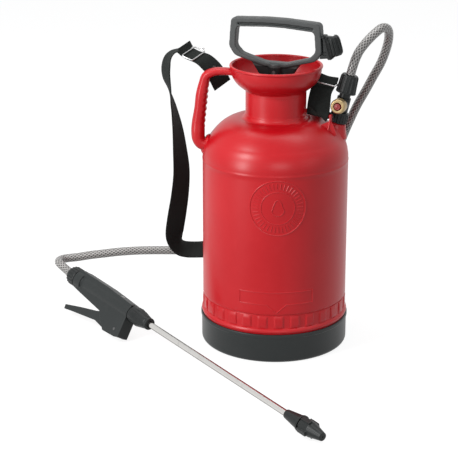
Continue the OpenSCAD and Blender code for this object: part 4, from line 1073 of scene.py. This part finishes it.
def softCopy(node, name, voxel, passes, finish, body):
    return dress(roundedCopy(node, name, voxel, passes), finish, body, node)


nuts = {"collarR": 11.0, "collarLow": 4.0, "collarTop": 18.4, "collarRibs": 18, "hoseLow": 44.2,
        "hoseRibs": 16}


def outletNuts(k):
    r, low, top = k["collarR"], k["collarLow"], k["collarTop"]
    collar = [(8.95, low), (r - 0.3, low), (r, low + 0.5), (r, 16.2), (r - 0.2, 16.6), (r - 0.2, top - 0.6),
              (r - 0.9, top), (7.7, top), (7.7, 16.7), (8.95, 16.6)]
    turnedNut("collarNut", "outlet_collar_nut", collar, 0.35, outletPlace, 216,
              ribbed(k["collarRibs"], 0.8, low + 0.3, 16.3))
    w = k["hoseLow"]
    nut = [(7.65, w + 0.2), (13, w), (13.2, w + 0.4), (13.2, w + 1.6), (12.6, w + 2.1), (12.1, w + 3),
           (10.9, w + 21.4), (10.4, w + 23.6), (9.9, w + 24), (6.4, w + 24), (6.3, w + 15.6),
           (7.65, w + 15.4)]
    turnedNut("hoseNut", "hose_nut", nut, 0.5, outletPlace, 224,
              ribbed(k["hoseRibs"], 0.75, w + 2.4, w + 22.6))


outletNuts(nuts)
softCopy("outlet_union", "outletUnion", 0.35, 3, fittingBlack, "sprayer")
branch = {"up": 29.0, "turn": -18.0}
reliefPlace = outletPlace @ moved(0, 0, branch["up"]) @ turned(branch["turn"], "Z") @ turned(90, "X")


def reliefValve():
    body = [(6.3, 8.2), (6.4, 12.8), (9.2, 13), (9.7, 13.5), (9.7, 18), (9.35, 18.5), (9.7, 19), (9.7, 23.4),
            (9.3, 24.6), (8.6, 25.7), (7.8, 26), (5.6, 26), (4.9, 25.4), (4.35, 24.2), (4.35, 23),
            (5.7, 22.9), (5.7, 9.4), (2.5, 9.3), (2.5, 8.1)]
    obj = lathe("reliefBody", softCorners(body, 0.35), reliefPlace, 144, loop=True)
    dress(obj, valveBrass, "sprayer", "relief_body")
    pin = [(0, 11.2), (5.1, 11.25), (5.1, 12.7), (2.6, 12.9), (2.6, 19.9), (4.1, 20.1), (4.2, 20.6),
           (4.2, 26.4), (3.9, 27.0), (3.0, 27.2), (2.6, 26.9), (2.2, 26.95), (1.2, 27.3), (0, 27.4)]
    obj = lathe("reliefPin", softCorners(pin, 0.3), reliefPlace, 96)
    dress(obj, pinRed, "relief", "relief_pin")


reliefValve()
print("outlet made")

# pump handle and its clip
pull = {"turn": -20.0, "half": 63.0, "web": 14.4, "clipOut": 14.5, "clipUp": 32.5, "clipLean": -17.0}
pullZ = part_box("pump_handle")[0][2] / mm + pull["web"]
pullTurned = moved(0, 0, pullZ) @ turned(pull["turn"], "Z")
pullPlace = pullTurned @ turned(90, "X")
clipPlace = (pullTurned @ moved(pull["half"] + pull["clipOut"], 0, pull["clipUp"])
             @ turned(pull["clipLean"], "Y"))


def pumpHandle():
    obj = softCopy("pump_handle", "pumpHandle", 0.75, 7, handleGrey, "plunger")
    # painted shade: the web and hub below the bar get the darker black finish, to stand for the shade they
    # lie in inside the funnel
    obj.data.materials.append(fittingBlack)
    low = [f.center.z < (pullZ - 0.4) * mm for f in obj.data.polygons]   # the web and hub below the bar
    obj.data.polygons.foreach_set("material_index", [int(v) for v in low])


def lanceClip():
    # the ring is drawn in at both ends, so that its ribs bulge
    obj = roundedCopy("lance_clip", "lanceClip", 0.42, 2)
    local = through(clipPlace.inverted(), vertsOf(obj)) / mm
    r, z = np.hypot(local[:, 0], local[:, 1]), np.abs(local[:, 2])
    most = 10.3 - 0.012 * z ** 2 - np.maximum(0, z - 9.5) ** 1.5 * 0.32
    drawnIn = (local[:, 0] > -4) & (r > most) & (r > 4.6)
    local[:, :2] *= np.where(drawnIn, np.maximum(most, 4.6) / np.maximum(r, 1e-6), 1.0)[:, None]
    moveVerts(obj, through(clipPlace, local * mm))
    x = pull["half"]
    outline = [(x + 1, 24), (x - 0.2, 43), (x + 4, 44.6), (x + 11, 44.2), (x + 14, 24)]
    web = plateOf("clipWeb", outline, 7.0, pullPlace)
    profile = softCorners([(0, 2), (2.7, 2), (2.7, 6.6), (1.6, 7.0), (1.3, 6.5), (0, 6.4)], 0.3)
    boss = lathe("clipBoss", profile, pullPlace @ moved(x + 0.8, 44.2, 0), 24)
    fitting(joinAll("lanceClip", [obj, web, boss]), "lance_clip", "plunger")


pumpHandle()
lanceClip()
softCopy("pump_cap", "pumpCap", 0.9, 3, fittingBlack, "pump")
print("pump handle made")

# gun and lance
softCopy("gun_body", "gunBody", 0.6, 5, gunBlack, "sprayer")
softCopy("trigger_lever", "triggerLever", 0.55, 5, gunBlack, "lever")
lance = {"radius": 4.0, "bore": 3.0, "start": 152.0, "end": 500.5}
gunNut = {"ribs": 20, "glandRibs": 10, "glandAt": 156.0}


def gunNuts(k):
    rear = [(4.2, 0.2), (7.2, 0.2), (8.4, 1), (11.4, 4.8), (12.4, 6.4), (12.8, 8.4), (12.8, 19.6),
            (12.1, 21.4), (11.2, 22), (9.4, 22), (9.4, 12.2), (4.2, 12)]
    turnedNut("gunHoseNut", "gun_hose_nut", rear, 0.6, alongGun, 200, ribbed(k["ribs"], 0.7, 6.2, 20.2))
    s = k["glandAt"]
    front = [(8, s + 1.1), (10.8, s + 1), (11.4, s + 1.8), (11.5, s + 15), (11.1, s + 17.5), (8.5, s + 34),
             (7.9, s + 35.6), (8.2, s + 36.6), (8.2, s + 39), (7.3, s + 40), (4.2, s + 40), (4.2, s + 25.2),
             (8, s + 25)]
    turnedNut("glandNut", "gland_nut", front, 0.5, alongGun, 200,
              ribbed(k["glandRibs"], 0.8, s + 2.5, s + 33, 0.3))


def lanceTube(k):
    r, a, b = k["radius"], k["start"], k["end"]
    rings = [(r, z) for z in np.linspace(a + 0.5, b - 0.5, 60)]
    profile = [(k["bore"], a), (r - 0.3, a)] + rings + [(r - 0.3, b), (k["bore"], b)]
    obj = lathe("lanceTube", profile, alongGun, 64, loop=True)
    dress(obj, lanceSteel, "sprayer", "lance_tube")


gunNuts(gunNut)
lanceTube(lance)
softCopy("nozzle_body", "nozzleBody", 0.35, 3, fittingBlack, "sprayer")
softCopy("nozzle_cap", "nozzleCap", 0.33, 3, fittingBlack, "nozzle")
print("gun made")

# finishes of the nodes that stay
finishes = {"inner_white": innerWhite, "seal_rubber": sealRubber, "rod_steel": rodSteel,
            "spring_steel": springSteel, "wire_chrome": wireChrome, "lance_chrome": lanceSteel,
            "brass": valveBrass, "pin_red": pinRed, "fitting_black": fittingBlack, "gun_black": gunBlack,
            "tank_red": tankRed, "base_black": cupBlack, "handle_grey": handleGrey, "hose_grey": hoseBraid,
            "webbing_black": webbing}
darkPins = ("handle_pin", "trigger_pin")
for entry in frame["record"]["subparts"]:
    mesh = nodes[entry["node"]].data
    mesh.materials.clear()
    mesh.materials.append(rivetSteel if entry["node"] in darkPins else finishes[entry["material_slot"]])


# floor, light and background
def emptyTree(owner):
    owner.use_nodes = True
    owner.node_tree.nodes.clear()
    return owner.node_tree


def seenRays(tree):
    # one for the rays that look at a thing, nought for those that light it
    path = tree.nodes.new("ShaderNodeLightPath").outputs
    return mathNode(tree, "MAXIMUM", path["Is Camera Ray"],
                    mathNode(tree, "MAXIMUM", path["Is Glossy Ray"], path["Is Transmission Ray"]))


studio = {"half": 9.0, "floor": 0.2, "glow": 0.87, "sky": 0.42}
lamps = {
    "keyLamp": {"at": (-1.55, -1.0, 1.75), "aim": (0, 0, 0.22), "size": (0.5, 0.5), "watts": 27},
    "sideLamp": {"at": (-1.7, -1.35, 0.55), "aim": (0, 0, 0.2), "size": (0.4, 1.1), "watts": 24},
    "topLamp": {"at": (0.1, 0.3, 2.1), "aim": (0, 0, 0.3), "size": (2.2, 0.8), "watts": 18},
    "frontLamp": {"at": (0.3, -2.4, 1.0), "aim": (0, 0, 0.25), "size": (1.0, 0.8), "watts": 9},
    "fillLamp": {"at": (1.9, -1.2, 1.1), "aim": (0, 0, 0.2), "size": (1.0, 1.0), "watts": 2}}


def whiteFloor(k):
    mesh = bpy.data.meshes.new("floor")
    s = k["half"]
    mesh.from_pydata([(-s, -s, 0), (s, -s, 0), (s, s, 0), (-s, s, 0)], [], [(0, 1, 2, 3)])
    mat = bpy.data.materials.new("floorWhite")
    tree = emptyTree(mat)
    out, plain, glow, both = (tree.nodes.new("ShaderNode" + n)
                              for n in ("OutputMaterial", "BsdfDiffuse", "Emission", "AddShader"))
    feed(tree, plain.inputs, {0: rgba(k["floor"], k["floor"], k["floor"])})
    feed(tree, glow.inputs, {"Strength": times(tree, seenRays(tree), k["glow"])})
    feed(tree, both.inputs, {0: plain.outputs[0], 1: glow.outputs[0]})
    feed(tree, out.inputs, {0: both.outputs[0]})
    mesh.materials.append(mat)
    addObject("floor", mesh)


def skyWhite(k):
    world = bpy.data.worlds.new("studio")
    bpy.context.scene.world = world
    tree = emptyTree(world)
    out, soft, white, mix = (tree.nodes.new("ShaderNode" + n)
                             for n in ("OutputWorld", "Background", "Background", "MixShader"))
    feed(tree, soft.inputs, {0: rgba(0.97, 0.98, 1.0), 1: k["sky"]})
    feed(tree, white.inputs, {0: rgba(1.0, 1.0, 1.0), 1: 1.0})
    feed(tree, mix.inputs, {0: seenRays(tree), 1: soft.outputs[0], 2: white.outputs[0]})
    feed(tree, out.inputs, {0: mix.outputs[0]})


def softLamp(name, k):
    data = bpy.data.lights.new(name, "AREA")
    data.shape = "RECTANGLE"
    data.size, data.size_y = k["size"]
    data.energy = k["watts"]
    lamp = addObject(name, data)
    lamp.location = k["at"]
    lamp.rotation_euler = (Vector(k["aim"]) - Vector(k["at"])).to_track_quat("-Z", "Y").to_euler()


whiteFloor(studio)
skyWhite(studio)
for lampName, lamp in lamps.items():
    softLamp(lampName, lamp)
bpy.context.scene.view_settings.view_transform = "Standard"
print("stage lit")

bpy.context.view_layer.update()
